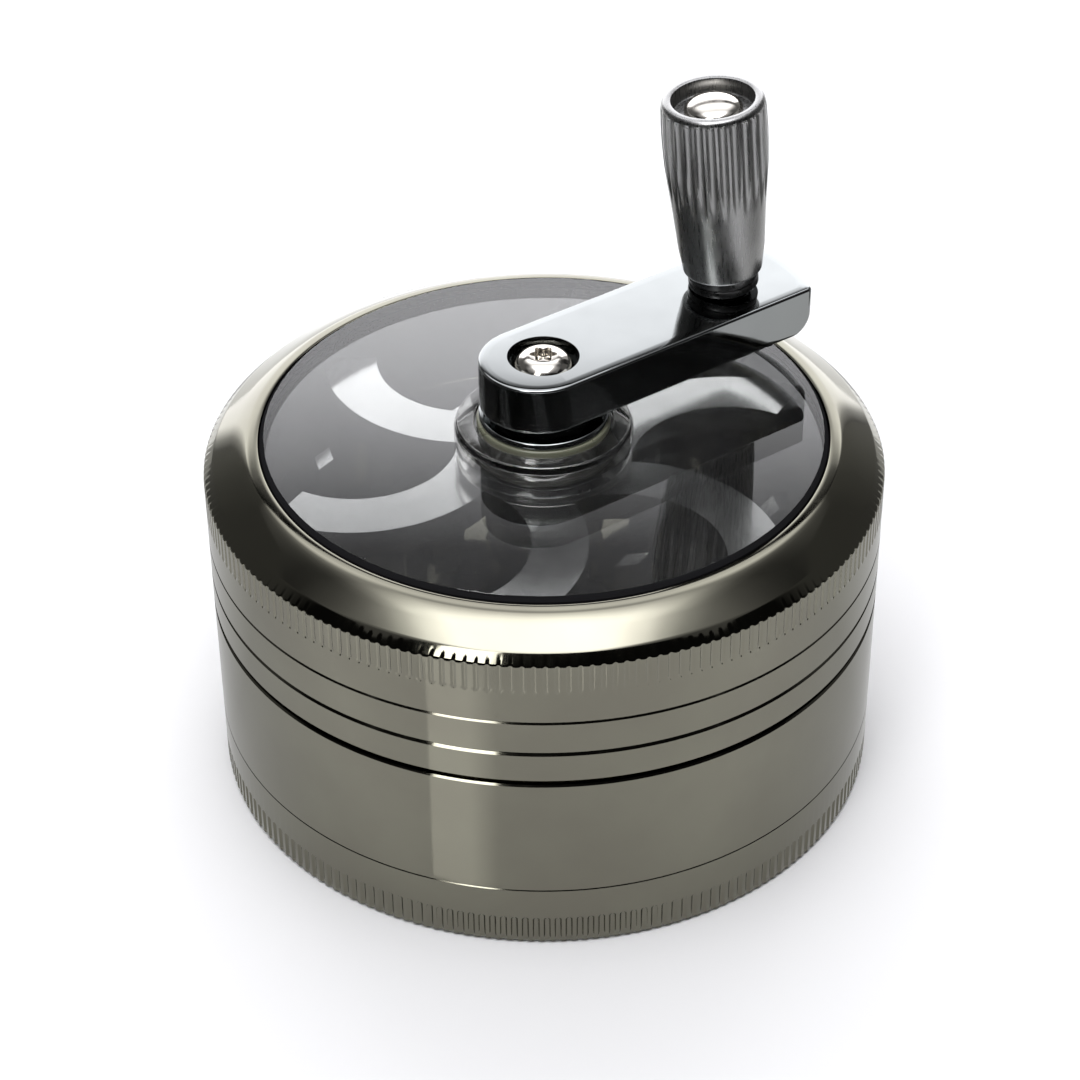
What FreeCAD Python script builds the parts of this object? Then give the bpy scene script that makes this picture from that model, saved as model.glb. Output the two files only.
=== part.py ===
import FreeCAD, Part
import math
import os

# A hand cranked herb grinder in four storeys: a tray, a sieve case, a grinding case and a lid with
# a clear window. All sizes are in millimetres. Z points up, and the origin is the centre of the
# flat underside. The crank turns about the Z axis.

# Casing heights, from the table upwards
body_radius = 31.5
tray_height = 6.35
sieve_case_height = 12.45
grinding_case_height = 7.1
lid_side_height = 6.26
lid_chamfer = 0.75
dome_rise = 2.1
dome_bulge = 0.06
edge_break = 0.15
base_bevel = 0.25

# Reeding round the lid and round the tray
reed_count = 200
lid_reed_radius = 0.2
lid_reed_depth = 0.1
lid_reed_height = 2.85
tray_reed_radius = 0.32
tray_reed_depth = 0.26
tray_reed_height = 3.0

# Screwed joints between the storeys, drawn as rings whose crests pass each other
rim_wall = 2.15
skirt_wall = 1.3
ridge_height = 0.15
ridge_pitch = 1.0
ridge_count = 3
thread_gap = 0.1
tray_skirt_length = 3.1
chamber_skirt_length = 4.0
skirt_end_gap = 0.25

# Tray and sieve case
tray_floor = 1.3
tray_wall = 3.4
tray_corner = 2.4
sieve_wall = 3.3
sieve_ledge = 2.0
sieve_ledge_height = 0.9
sieve_ledge_lift = 0.65
mesh_thickness = 0.15
mesh_pitch = 2.9
mesh_bar = 0.7
mesh_border = 1.3
clamp_ring_width = 1.6
clamp_ring_height = 1.0

# Grinding case
seam_shadow_depth = 0.9
seam_shadow_height = 0.5
trim_groove_lift = 3.6
trim_groove_depth = 0.2
floor_lift = 0.6
floor_thickness = 2.2
spigot_wall = 2.3
spigot_height = 4.3
spigot_inset = 0.4
friction_ring_width = 0.95
friction_ring_height = 1.4
friction_ring_lift = 1.45
friction_ring_split = 1.5
floor_boss_radius = 5.2
floor_boss_height = 0.7

# Teeth, and the holes that the ground herb falls through
tooth_length = 4.4
tooth_width = 2.1
tip_tooth_length = 3.2
tooth_taper = 0.86
outer_ring_radius = 21.25
inner_ring_radius = 14.3
fixed_teeth_per_ring = 4
fixed_teeth_angle = 168.6
tooth_run_gap = 0.7
tooth_floor_gap = 0.5
hole_radius = 1.65
hole_rings = ((10.6, 11), (17.8, 19), (24.3, 26))

# Lid and window
lid_wall = 1.9
cavity_wall = 3.6
opening_inset = 5.2
rim_land = 0.8
rim_bevel = 0.45
window_thickness = 2.95
window_proud = 0.25
window_edge_gap = 0.12
window_bevel = 0.4
flange_thickness = 1.2
flange_overlap = 1.4
retaining_ring_height = 1.0
retaining_ring_width = 1.95
boss_radius = 8.1
boss_rise = 0.75
boss_edge = 0.25
boss_recess_radius = 6.45
boss_recess_depth = 0.5

# Crank bearing
shaft_radius = 3.9
bush_wall = 1.45
nylon_washer_radius = 6.2
nylon_washer_height = 0.9
steel_washer_radius = 6.0
steel_washer_height = 0.7
washer_edge = 0.22
rotor_washer_radius = 6.6
rotor_washer_height = 0.3
end_float = 0.1
square_across = 4.2
square_chamfer = 0.3

# Rotor
rotor_drop = 1.8
rotor_arm_count = 6
rotor_arm_width = 5.1
rotor_arm_thickness = 2.8
rotor_arm_root = 5.57
rotor_arm_sweep = 113.5
rotor_arm_angle = 233.2
rotor_wall_gap = 2.2
rotor_tip_taper = 1.6
rotor_tip_length = 4.4
hub_radius = 8.2
hub_boss_radius = 5.6
hub_web = 0.9
tip_tooth_inset = 0.8
inner_tooth_step = 3.5

# Magnets that hold the lid down
magnet_radius = 4.0
magnet_thickness = 1.5
magnet_gap = 0.6

# Screws
screw_radius = 1.45
crank_screw_head_radius = 2.85
crank_screw_head_height = 1.65
crank_screw_length = 6.0
crank_screw_rim = 0.35
star_recess_radius = 1.2
star_recess_depth = 0.9
rotor_screw_head_radius = 2.75
rotor_screw_head_height = 1.6
rotor_screw_length = 5.0
socket_across = 2.0
socket_depth = 0.9

# Crank arm
crank_angle = 35.5
crank_throw = 20.9
crank_width = 10.9
crank_thickness = 4.7
crank_tail = 7.3
crank_heel = 0.6
crank_end_bow = 15.0
crank_end_under_radius = 2.0
crank_edge_round = 0.4
crank_spacer_radius = 4.4
crank_spacer_height = 1.0
counterbore_radius = 3.3
counterbore_depth = 1.45

# Knob and the spindle it spins on, which leans a little towards the left of the photograph
knob_lean = 4.65
knob_washer_radius = 2.75
knob_washer_height = 0.6
spot_face_depth = 0.24
knob_foot_radius = 3.1
knob_foot_bevel = 0.45
knob_collar_radius = 3.45
knob_collar_height = 1.9
knob_neck_radius = 3.78
knob_neck_height = 2.2
knob_waist_height = 3.95
knob_waist_radius = 4.02
knob_middle_height = 8.25
knob_middle_radius = 4.36
knob_shoulder_height = 12.55
knob_shoulder_radius = 4.76
knob_crown_height = 15.85
knob_crown_radius = 4.86
knob_height = 19.27
knob_rim_radius = 4.48
knob_rim_drop = 0.65
knob_cup_radius = 3.8
knob_cup_depth = 1.5
flute_count = 28
flute_radius = 0.42
flute_reach_radius = 4.44
flute_top_land = 0.75
spindle_radius = 1.6
spindle_foot_radius = 1.4
spindle_head_radius = 2.7
spindle_head_rim = 0.35
spindle_dome = 1.1

# Clearances
running_gap = 0.05
fit_gap = 0.03
seat_gap = 0.1

# Heights that follow from the sizes above
sieve_case_base = tray_height
chamber_base = sieve_case_base + sieve_case_height
lid_base = chamber_base + grinding_case_height
lid_side_top = lid_base + lid_side_height
dome_base = lid_side_top + lid_chamfer
rim_top = dome_base + dome_rise
window_top = rim_top + window_proud
window_underside = window_top - window_thickness
lip_underside = window_underside + flange_thickness
boss_top = window_top + boss_rise
rotor_top = window_underside - rotor_drop
rotor_underside = rotor_top - rotor_arm_thickness
boss_underside = rotor_top + rotor_washer_height + end_float
recess_floor = boss_top - boss_recess_depth
nylon_top = recess_floor + nylon_washer_height
steel_top = nylon_top + steel_washer_height
crank_underside = steel_top + crank_spacer_height
crank_top = crank_underside + crank_thickness
counterbore_floor = crank_top - counterbore_depth
floor_underside = chamber_base + floor_lift
floor_top = floor_underside + floor_thickness
floor_boss_top = floor_top + floor_boss_height
fixed_tooth_top = rotor_underside - tooth_run_gap
rotor_tooth_bottom = floor_top + tooth_floor_gap
hub_bottom = floor_boss_top + magnet_gap
screw_pocket_floor = hub_bottom + magnet_thickness + fit_gap
screw_seat = screw_pocket_floor + rotor_screw_head_height + seat_gap
socket_floor = screw_seat + hub_web
spigot_top = lid_base + spigot_height
lid_shoulder = spigot_top + seat_gap
mesh_seat = sieve_case_base + sieve_ledge_lift + sieve_ledge_height

# Radii that follow from the sizes above
female_root = body_radius - rim_wall
male_crest = female_root - ridge_height - thread_gap
male_root = male_crest - ridge_height
skirt_bore = male_root - skirt_wall
sieve_bore = body_radius - sieve_wall
lid_bore = body_radius - lid_wall
friction_ring_radius = lid_bore - running_gap - fit_gap
spigot_radius = lid_bore - spigot_inset
chamber_bore = spigot_radius - spigot_wall
cavity_radius = body_radius - cavity_wall
opening_radius = body_radius - opening_inset
window_radius = opening_radius - window_edge_gap
flange_radius = opening_radius + flange_overlap
bush_radius = shaft_radius + running_gap + bush_wall
rotor_reach = chamber_bore - rotor_wall_gap
mid_tooth_radius = (inner_ring_radius + outer_ring_radius) / 2
inner_tooth_radius = inner_ring_radius - inner_tooth_step
tip_tooth_radius = rotor_reach - tip_tooth_inset
crank_end = crank_throw + crank_tail


def polar(radius, degrees, height=0.0):
    turn = math.radians(degrees)
    return FreeCAD.Vector(radius * math.cos(turn), radius * math.sin(turn), height)


# A profile is a list of (radius, height) points. A step that is a pair of points is an arc that
# passes through the first of them and ends at the second.
def profile_face(steps):
    first = FreeCAD.Vector(steps[0][0], 0, steps[0][1])
    here = first
    edges = []
    for step in steps[1:]:
        if isinstance(step[0], tuple):
            through, end = (FreeCAD.Vector(r, 0, z) for r, z in step)
            edges.append(Part.Arc(here, through, end).toShape())
        else:
            end = FreeCAD.Vector(step[0], 0, step[1])
            edges.append(Part.LineSegment(here, end).toShape())
        here = end
    if here.distanceToPoint(first) > 1e-7:
        edges.append(Part.LineSegment(here, first).toShape())
    return Part.Face(Part.Wire(edges))


def turned(steps):
    return profile_face(steps).revolve(FreeCAD.Vector(), FreeCAD.Vector(0, 0, 1), 360)


def rod(radius, bottom, top, place=(0.0, 0.0)):
    return Part.makeCylinder(radius, top - bottom, FreeCAD.Vector(place[0], place[1], bottom))


def tube(outer, inner, bottom, top):
    return rod(outer, bottom, top).cut(rod(inner, bottom - 1, top + 1))


def prism(points, bottom, top):
    corners = [FreeCAD.Vector(p.x, p.y, bottom) for p in points]
    face = Part.Face(Part.makePolygon(corners + corners[:1]))
    return face.extrude(FreeCAD.Vector(0, 0, top - bottom))


def square_bar(across, bottom, top):
    half = across / 2
    corners = [FreeCAD.Vector(x * half, y * half, 0) for x, y in ((1, 1), (-1, 1), (-1, -1), (1, -1))]
    bar = prism(corners, bottom, top)
    return bar.common(rod(half * math.sqrt(2) - square_chamfer, bottom, top))


# Rings of a screw thread along a wall, from one height to another; crest is their radius.
def ridges(root, crest, start, stop):
    way = 1 if stop > start else -1
    flank = ridge_height
    points = []
    for turn in range(ridge_count):
        middle = start + way * (turn + 0.5) * abs(stop - start) / ridge_count
        half = min(ridge_pitch, abs(stop - start) / ridge_count) / 2 - flank
        half = max(half, flank / 2)
        points.append((root, middle - way * (half / 2 + flank)))
        points.append((crest, middle - way * half / 2))
        points.append((crest, middle + way * half / 2))
        points.append((root, middle + way * (half / 2 + flank)))
    return points


# Upright grooves cut all round the wall; round_bottom gives each a round lower end.
def reeding(radius, depth, bottom, top, round_bottom):
    cutters = []
    axis_radius = body_radius - depth + radius
    for number in range(reed_count):
        place = polar(axis_radius, 360 * number / reed_count)
        cutter = rod(radius, bottom, top, (place.x, place.y))
        if round_bottom:
            end = Part.makeSphere(radius, FreeCAD.Vector(place.x, place.y, bottom))
            cutter = cutter.fuse(end)
        cutters.append(cutter)
    return cutters


# A four-sided tooth with its long diagonal along the given direction; it narrows away from its root.
def diamond_tooth(length, root, tip, place, direction):
    wires = []
    for height, scale in ((root, 1.0), (tip, tooth_taper)):
        corners = []
        for along, across in ((length / 2, 0), (0, tooth_width / 2), (-length / 2, 0), (0, -tooth_width / 2)):
            offset = polar(1, direction) * (along * scale) + polar(1, direction + 90) * (across * scale)
            corners.append(FreeCAD.Vector(place.x + offset.x, place.y + offset.y, height))
        wires.append(Part.makePolygon(corners + corners[:1]))
    return Part.makeLoft(wires, True, True)


def make_tray():
    bore = body_radius - tray_wall
    seat = tray_height - tray_skirt_length - skirt_end_gap
    corner = tray_corner * (1 - math.sqrt(0.5))
    steps = [(0, 0), (body_radius - base_bevel, 0), (body_radius, base_bevel)]
    steps += [(body_radius, tray_height - edge_break), (body_radius - edge_break, tray_height)]
    steps += [(female_root, tray_height)]
    steps += ridges(female_root, female_root - ridge_height, tray_height - edge_break, seat)
    steps += [(female_root, seat), (bore, seat)]
    if seat > tray_floor + tray_corner:
        steps.append((bore, tray_floor + tray_corner))
        bend = (bore - corner, tray_floor + corner)
        steps.append((bend, (bore - tray_corner, tray_floor)))
    else:
        steps.append((bore - tray_corner, tray_floor))
    steps.append((0, tray_floor))
    return turned(steps).cut(reeding(tray_reed_radius, tray_reed_depth, -1, tray_reed_height, False))


def make_sieve_case():
    base = sieve_case_base
    top = chamber_base
    skirt_end = base - tray_skirt_length
    seat = top - chamber_skirt_length - skirt_end_gap
    ledge_bore = sieve_bore - sieve_ledge
    steps = [(skirt_bore, skirt_end), (male_root, skirt_end)]
    steps += ridges(male_root, male_crest, skirt_end + edge_break, base - edge_break)
    steps += [(male_root, base), (body_radius - edge_break, base), (body_radius, base + edge_break)]
    steps += [(body_radius, top - edge_break), (body_radius - edge_break, top), (female_root, top)]
    steps += ridges(female_root, female_root - ridge_height, top - edge_break, seat)
    steps += [(female_root, seat), (sieve_bore, seat), (sieve_bore, mesh_seat)]
    steps += [(ledge_bore, mesh_seat), (ledge_bore, mesh_seat - sieve_ledge_height)]
    steps += [(skirt_bore, base - edge_break)]
    return turned(steps)


def make_sieve_mesh():
    radius = sieve_bore - seat_gap
    hole = mesh_pitch - mesh_bar
    reach = radius - mesh_border - sieve_ledge
    holes = []
    steps = int(reach / mesh_pitch)
    for column in range(-steps, steps + 1):
        for row in range(-steps, steps + 1):
            x = column * mesh_pitch
            y = row * mesh_pitch
            if math.hypot(abs(x) + hole / 2, abs(y) + hole / 2) < reach:
                corner = FreeCAD.Vector(x - hole / 2, y - hole / 2, mesh_seat)
                holes.append(Part.makePlane(hole, hole, corner).OuterWire)
    edge = Part.Wire(Part.makeCircle(radius, FreeCAD.Vector(0, 0, mesh_seat)))
    net = Part.makeFace([edge] + holes, "Part::FaceMakerBullseye")
    return net.extrude(FreeCAD.Vector(0, 0, mesh_thickness))


def make_sieve_clamp_ring():
    outer = sieve_bore - fit_gap
    bottom = mesh_seat + mesh_thickness
    return tube(outer, outer - clamp_ring_width, bottom, bottom + clamp_ring_height)


def fixed_teeth():
    teeth = []
    step = 360 / fixed_teeth_per_ring
    for radius, start in ((outer_ring_radius, 0), (inner_ring_radius, step / 2)):
        for number in range(fixed_teeth_per_ring):
            turn = fixed_teeth_angle + start + number * step
            place = polar(radius, turn)
            teeth.append(diamond_tooth(tooth_length, floor_underside, fixed_tooth_top, place, turn + 90))
    return teeth


def floor_holes():
    holes = []
    for radius, count in hole_rings:
        for number in range(count):
            place = polar(radius, 360 * number / count)
            holes.append(rod(hole_radius, floor_underside - 1, floor_top + 1, (place.x, place.y)))
    return holes


def make_grinding_case():
    base = chamber_base
    groove = base + trim_groove_lift
    skirt_end = base - chamber_skirt_length
    ring_seat = friction_ring_radius - friction_ring_width - fit_gap
    ring_base = lid_base + friction_ring_lift
    shadow_radius = body_radius - seam_shadow_depth
    shadow_top = base + seam_shadow_height
    magnet_pocket = floor_boss_top - magnet_thickness - fit_gap
    steps = [(skirt_bore, skirt_end), (male_root, skirt_end)]
    steps += ridges(male_root, male_crest, skirt_end + edge_break, base - edge_break)
    steps += [(male_root, base), (shadow_radius, base), (shadow_radius, shadow_top)]
    steps += [(body_radius - edge_break, shadow_top), (body_radius, shadow_top + edge_break)]
    steps += [(body_radius, groove - trim_groove_depth), (body_radius - trim_groove_depth, groove)]
    steps += [(body_radius, groove + trim_groove_depth), (body_radius, lid_base - edge_break)]
    steps += [(body_radius - edge_break, lid_base), (spigot_radius, lid_base), (spigot_radius, ring_base)]
    steps += [(ring_seat, ring_base), (ring_seat, ring_base + friction_ring_height + 2 * fit_gap)]
    steps += [(spigot_radius, ring_base + friction_ring_height + 2 * fit_gap)]
    steps += [(spigot_radius, spigot_top - edge_break), (spigot_radius - edge_break, spigot_top)]
    steps += [(chamber_bore, spigot_top), (chamber_bore, floor_top), (floor_boss_radius, floor_top)]
    steps += [(floor_boss_radius, floor_boss_top), (magnet_radius + fit_gap, floor_boss_top)]
    steps += [(magnet_radius + fit_gap, magnet_pocket), (0, magnet_pocket), (0, floor_underside)]
    steps += [(skirt_bore, floor_underside)]
    case = turned(steps)
    return case.fuse(fixed_teeth()).cut(floor_holes())


def make_chamber_magnet():
    bottom = floor_boss_top - magnet_thickness
    return rod(magnet_radius, bottom, floor_boss_top)


def make_lid_friction_ring():
    bottom = lid_base + friction_ring_lift + fit_gap
    ring = tube(friction_ring_radius, friction_ring_radius - friction_ring_width, bottom,
                bottom + friction_ring_height)
    corner = FreeCAD.Vector(-friction_ring_split / 2, 0, bottom - 1)
    return ring.cut(Part.makeBox(friction_ring_split, body_radius, friction_ring_height + 2, corner))


def make_lid_ring():
    dome_foot = (body_radius - lid_chamfer, dome_base)
    dome_head = (opening_radius + rim_land, rim_top)
    run = dome_foot[0] - dome_head[0]
    slope = math.hypot(run, dome_rise)
    bulge = (dome_rise / slope * dome_bulge, run / slope * dome_bulge)
    dome_middle = ((dome_foot[0] + dome_head[0]) / 2 + bulge[0], (dome_base + rim_top) / 2 + bulge[1])
    steps = [(lid_bore, lid_base), (body_radius - edge_break, lid_base)]
    steps += [(body_radius, lid_base + edge_break), (body_radius, lid_side_top), dome_foot]
    steps += [(dome_middle, dome_head), (opening_radius + rim_bevel, rim_top)]
    steps += [(opening_radius, rim_top - rim_bevel), (opening_radius, lip_underside)]
    steps += [(cavity_radius, lip_underside), (cavity_radius, lid_shoulder), (lid_bore, lid_shoulder)]
    reed_foot = lid_side_top - lid_reed_height + lid_reed_radius
    return turned(steps).cut(reeding(lid_reed_radius, lid_reed_depth, reed_foot, rim_top, True))


def make_window():
    steps = [(bush_radius, boss_underside), (boss_radius, boss_underside)]
    steps += [(boss_radius, window_underside), (flange_radius, window_underside)]
    steps += [(flange_radius, lip_underside), (window_radius, lip_underside)]
    steps += [(window_radius, window_top - window_bevel), (window_radius - window_bevel, window_top)]
    steps += [(boss_radius, window_top), (boss_radius, boss_top - boss_edge)]
    steps += [(boss_radius - boss_edge, boss_top), (boss_recess_radius, boss_top)]
    steps += [(boss_recess_radius, recess_floor), (bush_radius, recess_floor)]
    return turned(steps)


def make_window_retaining_ring():
    outer = cavity_radius - fit_gap
    top = window_underside
    return tube(outer, outer - retaining_ring_width, top - retaining_ring_height, top)


def make_shaft_bushing():
    return tube(bush_radius - fit_gap, shaft_radius + running_gap, boss_underside, recess_floor)


def washer(outer, bore, bottom, top):
    steps = [(bore, bottom), (outer - washer_edge, bottom), (outer, bottom + washer_edge)]
    steps += [(outer, top - washer_edge), (outer - washer_edge, top), (bore, top)]
    return turned(steps)


def make_nylon_washer():
    return washer(nylon_washer_radius, shaft_radius + running_gap, recess_floor, nylon_top)


def make_steel_washer():
    return washer(steel_washer_radius, shaft_radius + fit_gap, nylon_top, steel_top)


def make_rotor_washer():
    return tube(rotor_washer_radius, shaft_radius + fit_gap, rotor_top, rotor_top + rotor_washer_height)


def make_drive_shaft():
    bottom = socket_floor + fit_gap
    top = counterbore_floor - fit_gap
    shaft = rod(shaft_radius, rotor_top, crank_underside)
    shaft = shaft.fuse([square_bar(square_across, bottom, rotor_top), square_bar(square_across, crank_underside, top)])
    hole = screw_radius + fit_gap
    upper_hole = rod(hole, counterbore_floor - crank_screw_length - seat_gap, top + 1)
    lower_hole = rod(hole, bottom - 1, screw_seat + rotor_screw_length + seat_gap)
    return shaft.cut([upper_hole, lower_hole])


# One curved rotor arm as a flat face: a band about an arc that starts beside the hub's centre.
# The arc's radius follows from how near it passes to the axis, its sweep and the rotor's reach.
def arm_bend():
    share = 2 * (1 - math.cos(math.radians(rotor_arm_sweep)))
    spread = (rotor_reach ** 2 - rotor_arm_root ** 2) / share
    return (math.sqrt(rotor_arm_root ** 2 + 4 * spread) - rotor_arm_root) / 2


def arm_centre(turn):
    return polar(rotor_arm_root + arm_bend(), rotor_arm_angle + turn)


def arm_point(turn, sweep, offset):
    back = rotor_arm_angle + turn + 180
    return arm_centre(turn) + polar(arm_bend() + offset, back - sweep)


def arm_solid(turn):
    half = rotor_arm_width / 2
    lift = FreeCAD.Vector(0, 0, rotor_underside)
    inner = [arm_point(turn, rotor_arm_sweep * share, -half) + lift for share in (0, 0.5, 1)]
    outer = [arm_point(turn, rotor_arm_sweep * share, half) + lift for share in (1, 0.5, 0)]
    edges = [Part.Arc(*inner).toShape(), Part.LineSegment(inner[2], outer[0]).toShape()]
    edges += [Part.Arc(*outer).toShape(), Part.LineSegment(outer[2], inner[0]).toShape()]
    return Part.Face(Part.Wire(edges)).extrude(FreeCAD.Vector(0, 0, rotor_arm_thickness))


# Place and direction on an arm's middle line at a distance from the axis.
def arm_station(turn, radius):
    bend = arm_bend()
    span = rotor_arm_root + bend
    cosine = (span ** 2 + bend ** 2 - radius ** 2) / (2 * span * bend)
    sweep = math.degrees(math.acos(max(-1.0, min(1.0, cosine))))
    return arm_point(turn, sweep, 0), rotor_arm_angle + turn + 90 - sweep


def rotor_teeth():
    teeth = []
    for number in range(rotor_arm_count):
        turn = -360 * number / rotor_arm_count
        stations = ((mid_tooth_radius, tooth_length),)
        if number % 2:
            stations = ((inner_tooth_radius, tooth_length), (tip_tooth_radius, tip_tooth_length))
        for radius, length in stations:
            place, direction = arm_station(turn, radius)
            root = rotor_top - (rotor_top - rotor_underside) / 2
            if length == tip_tooth_length:
                root = rotor_top - edge_break
            teeth.append(diamond_tooth(length, root, rotor_tooth_bottom, place, direction))
    return teeth


def make_rotor():
    arms = [arm_solid(-360 * number / rotor_arm_count) for number in range(rotor_arm_count)]
    body = rod(hub_radius, rotor_underside, rotor_top).fuse(arms)
    tip = rotor_reach + rotor_arm_width
    start = rotor_reach - rotor_tip_length
    slope = rotor_tip_taper / rotor_tip_length
    taper = [(start, rotor_underside - 1), (start, rotor_underside)]
    taper += [(tip, rotor_underside + slope * (tip - start)), (tip, rotor_underside - 1)]
    body = body.cut(turned(taper))
    body = body.fuse([rod(hub_boss_radius, hub_bottom, rotor_top)] + rotor_teeth())
    magnet_pocket = rod(magnet_radius + fit_gap, hub_bottom - 1, screw_pocket_floor)
    head_pocket = rod(rotor_screw_head_radius + seat_gap, hub_bottom, screw_seat)
    shank_hole = rod(screw_radius + seat_gap, hub_bottom, rotor_top)
    socket = square_bar(square_across + 2 * fit_gap, socket_floor, rotor_top + 1)
    return body.cut([magnet_pocket, head_pocket, shank_hole, socket]).removeSplitter()


def make_rotor_magnet():
    return rod(magnet_radius, hub_bottom, hub_bottom + magnet_thickness)


def make_rotor_screw():
    head = rod(rotor_screw_head_radius, screw_seat - rotor_screw_head_height, screw_seat)
    shank = rod(screw_radius, screw_seat, screw_seat + rotor_screw_length)
    corners = [polar(socket_across / math.sqrt(3), 60 * number) for number in range(6)]
    low = screw_seat - rotor_screw_head_height
    return head.fuse(shank).cut(prism(corners, low - 1, low + socket_depth))


def make_crank_screw():
    seat = counterbore_floor
    shank_end = seat - crank_screw_length
    rim = seat + crank_screw_rim
    top = seat + crank_screw_head_height
    flat = star_recess_radius + 0.35
    rise = top - rim
    fall = crank_screw_head_radius - flat
    bulge = ((crank_screw_head_radius + flat) / 2 + rise * 0.16, (rim + top) / 2 + fall * 0.3)
    steps = [(0, shank_end), (screw_radius, shank_end), (screw_radius, seat)]
    steps += [(crank_screw_head_radius, seat), (crank_screw_head_radius, rim), (bulge, (flat, top)), (0, top)]
    screw = turned(steps)
    lobe = star_recess_radius / 4
    cutters = [rod(star_recess_radius - lobe, top - star_recess_depth, top + 1)]
    for number in range(6):
        place = polar(star_recess_radius - lobe, 60 * number)
        cutters.append(rod(lobe, top - star_recess_depth, top + 1, (place.x, place.y)))
    return screw.cut(cutters)


# The knob, its washer and its spindle are made upright on the origin, then leant and put in place.
def lean_on_crank(shape):
    place = polar(crank_throw, crank_angle, crank_top - spot_face_depth)
    leant = shape.copy()
    leant.rotate(FreeCAD.Vector(), FreeCAD.Vector(0, 1, 0), -knob_lean)
    leant.translate(place)
    return leant


# True for the bar's edges that are rounded: the top rim, the heel's lower rim and the side faces' edges.
def is_sharp(edge):
    box = edge.BoundBox
    at_heel = box.XMax < 1e-6 - crank_heel
    if box.YLength < 1e-6:
        return not at_heel
    return box.ZLength < 1e-6 and (at_heel or box.ZMin > crank_top - 1e-6)


def make_crank_arm():
    half = crank_width / 2
    length = crank_end + crank_heel
    bar = Part.makeBox(length, crank_width, crank_thickness, FreeCAD.Vector(-crank_heel, -half, crank_underside))
    arm = bar.fuse(rod(half, crank_underside, crank_top, (-crank_heel, 0)))
    under = crank_end_under_radius
    turn = under * (1 - math.sqrt(0.5))
    side = [(0, crank_underside), (crank_end_bow - under, crank_underside)]
    side += [((crank_end_bow - turn, crank_underside + turn), (crank_end_bow, crank_underside + under))]
    side += [(crank_end_bow, crank_top), (0, crank_top)]
    bow = turned(side)
    bow.translate(FreeCAD.Vector(crank_end - crank_end_bow, 0, 0))
    arm = arm.common(bow.fuse(rod(crank_end_bow, crank_underside, crank_top))).removeSplitter()
    arm = arm.makeFillet(crank_edge_round, [edge for edge in arm.Edges if is_sharp(edge)])
    arm = arm.fuse(rod(crank_spacer_radius, steel_top, crank_underside))
    arm.rotate(FreeCAD.Vector(), FreeCAD.Vector(0, 0, 1), crank_angle)
    counterbore = rod(counterbore_radius, counterbore_floor, crank_top + 1)
    socket = square_bar(square_across + 2 * fit_gap, crank_underside - 1, crank_top)
    shaft_hole = rod(shaft_radius + fit_gap, steel_top - 1, crank_underside)
    spot = lean_on_crank(rod(knob_washer_radius + seat_gap, 0, 2))
    spindle_hole = lean_on_crank(rod(spindle_foot_radius + fit_gap, -2 * crank_thickness, 2))
    return arm.cut([counterbore, socket, shaft_hole, spot, spindle_hole])


def make_knob_washer():
    return lean_on_crank(tube(knob_washer_radius, spindle_foot_radius + running_gap, 0, knob_washer_height))


def make_knob_spindle():
    floor = knob_washer_height + knob_height - knob_cup_depth + seat_gap
    rim = floor + spindle_head_rim
    top = rim + spindle_dome
    foot = seat_gap + spot_face_depth - crank_thickness
    shoulder = knob_washer_height
    ball = (spindle_head_radius ** 2 + spindle_dome ** 2) / (2 * spindle_dome)
    half = spindle_head_radius / 2
    mid = (half, top - ball + math.sqrt(ball ** 2 - half ** 2))
    steps = [(0, foot), (spindle_foot_radius, foot), (spindle_foot_radius, shoulder)]
    steps += [(spindle_radius, shoulder), (spindle_radius, floor), (spindle_head_radius, floor)]
    steps += [(spindle_head_radius, rim), (mid, (0, top))]
    return lean_on_crank(turned(steps))


def make_knob():
    foot = knob_washer_height + running_gap
    bore = spindle_radius + running_gap
    top = foot + knob_height
    rim_bend = ((knob_rim_radius + knob_crown_radius) / 2 + 0.1, top - knob_rim_drop * 0.25)
    steps = [(bore, foot), (knob_foot_radius, foot), (knob_collar_radius, foot + knob_foot_bevel)]
    steps += [(knob_collar_radius, foot + knob_collar_height), (knob_neck_radius, foot + knob_neck_height)]
    steps += [(knob_waist_radius, foot + knob_waist_height)]
    steps += [(knob_middle_radius, foot + knob_middle_height)]
    steps += [(knob_shoulder_radius, foot + knob_shoulder_height)]
    steps += [(knob_crown_radius, foot + knob_crown_height), (knob_crown_radius - 0.1, top - knob_rim_drop)]
    steps += [(rim_bend, (knob_rim_radius, top)), (knob_cup_radius, top)]
    steps += [(knob_cup_radius, top - knob_cup_depth), (bore, top - knob_cup_depth)]
    knob = turned(steps)
    cutters = []
    for number in range(flute_count):
        place = polar(flute_reach_radius + flute_radius, 360 * (number + 0.5) / flute_count)
        cutters.append(rod(flute_radius, foot + knob_neck_height, top - flute_top_land, (place.x, place.y)))
    return lean_on_crank(knob.cut(cutters))


makers = {
    "tray": make_tray,
    "sieve_case": make_sieve_case,
    "sieve_mesh": make_sieve_mesh,
    "sieve_clamp_ring": make_sieve_clamp_ring,
    "grinding_case": make_grinding_case,
    "chamber_magnet": make_chamber_magnet,
    "lid_friction_ring": make_lid_friction_ring,
    "lid_ring": make_lid_ring,
    "window": make_window,
    "window_retaining_ring": make_window_retaining_ring,
    "shaft_bushing": make_shaft_bushing,
    "nylon_washer": make_nylon_washer,
    "steel_washer": make_steel_washer,
    "rotor_washer": make_rotor_washer,
    "drive_shaft": make_drive_shaft,
    "rotor": make_rotor,
    "rotor_magnet": make_rotor_magnet,
    "rotor_screw": make_rotor_screw,
    "crank_arm": make_crank_arm,
    "crank_screw": make_crank_screw,
    "knob_washer": make_knob_washer,
    "knob_spindle": make_knob_spindle,
    "knob": make_knob,
}

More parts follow.
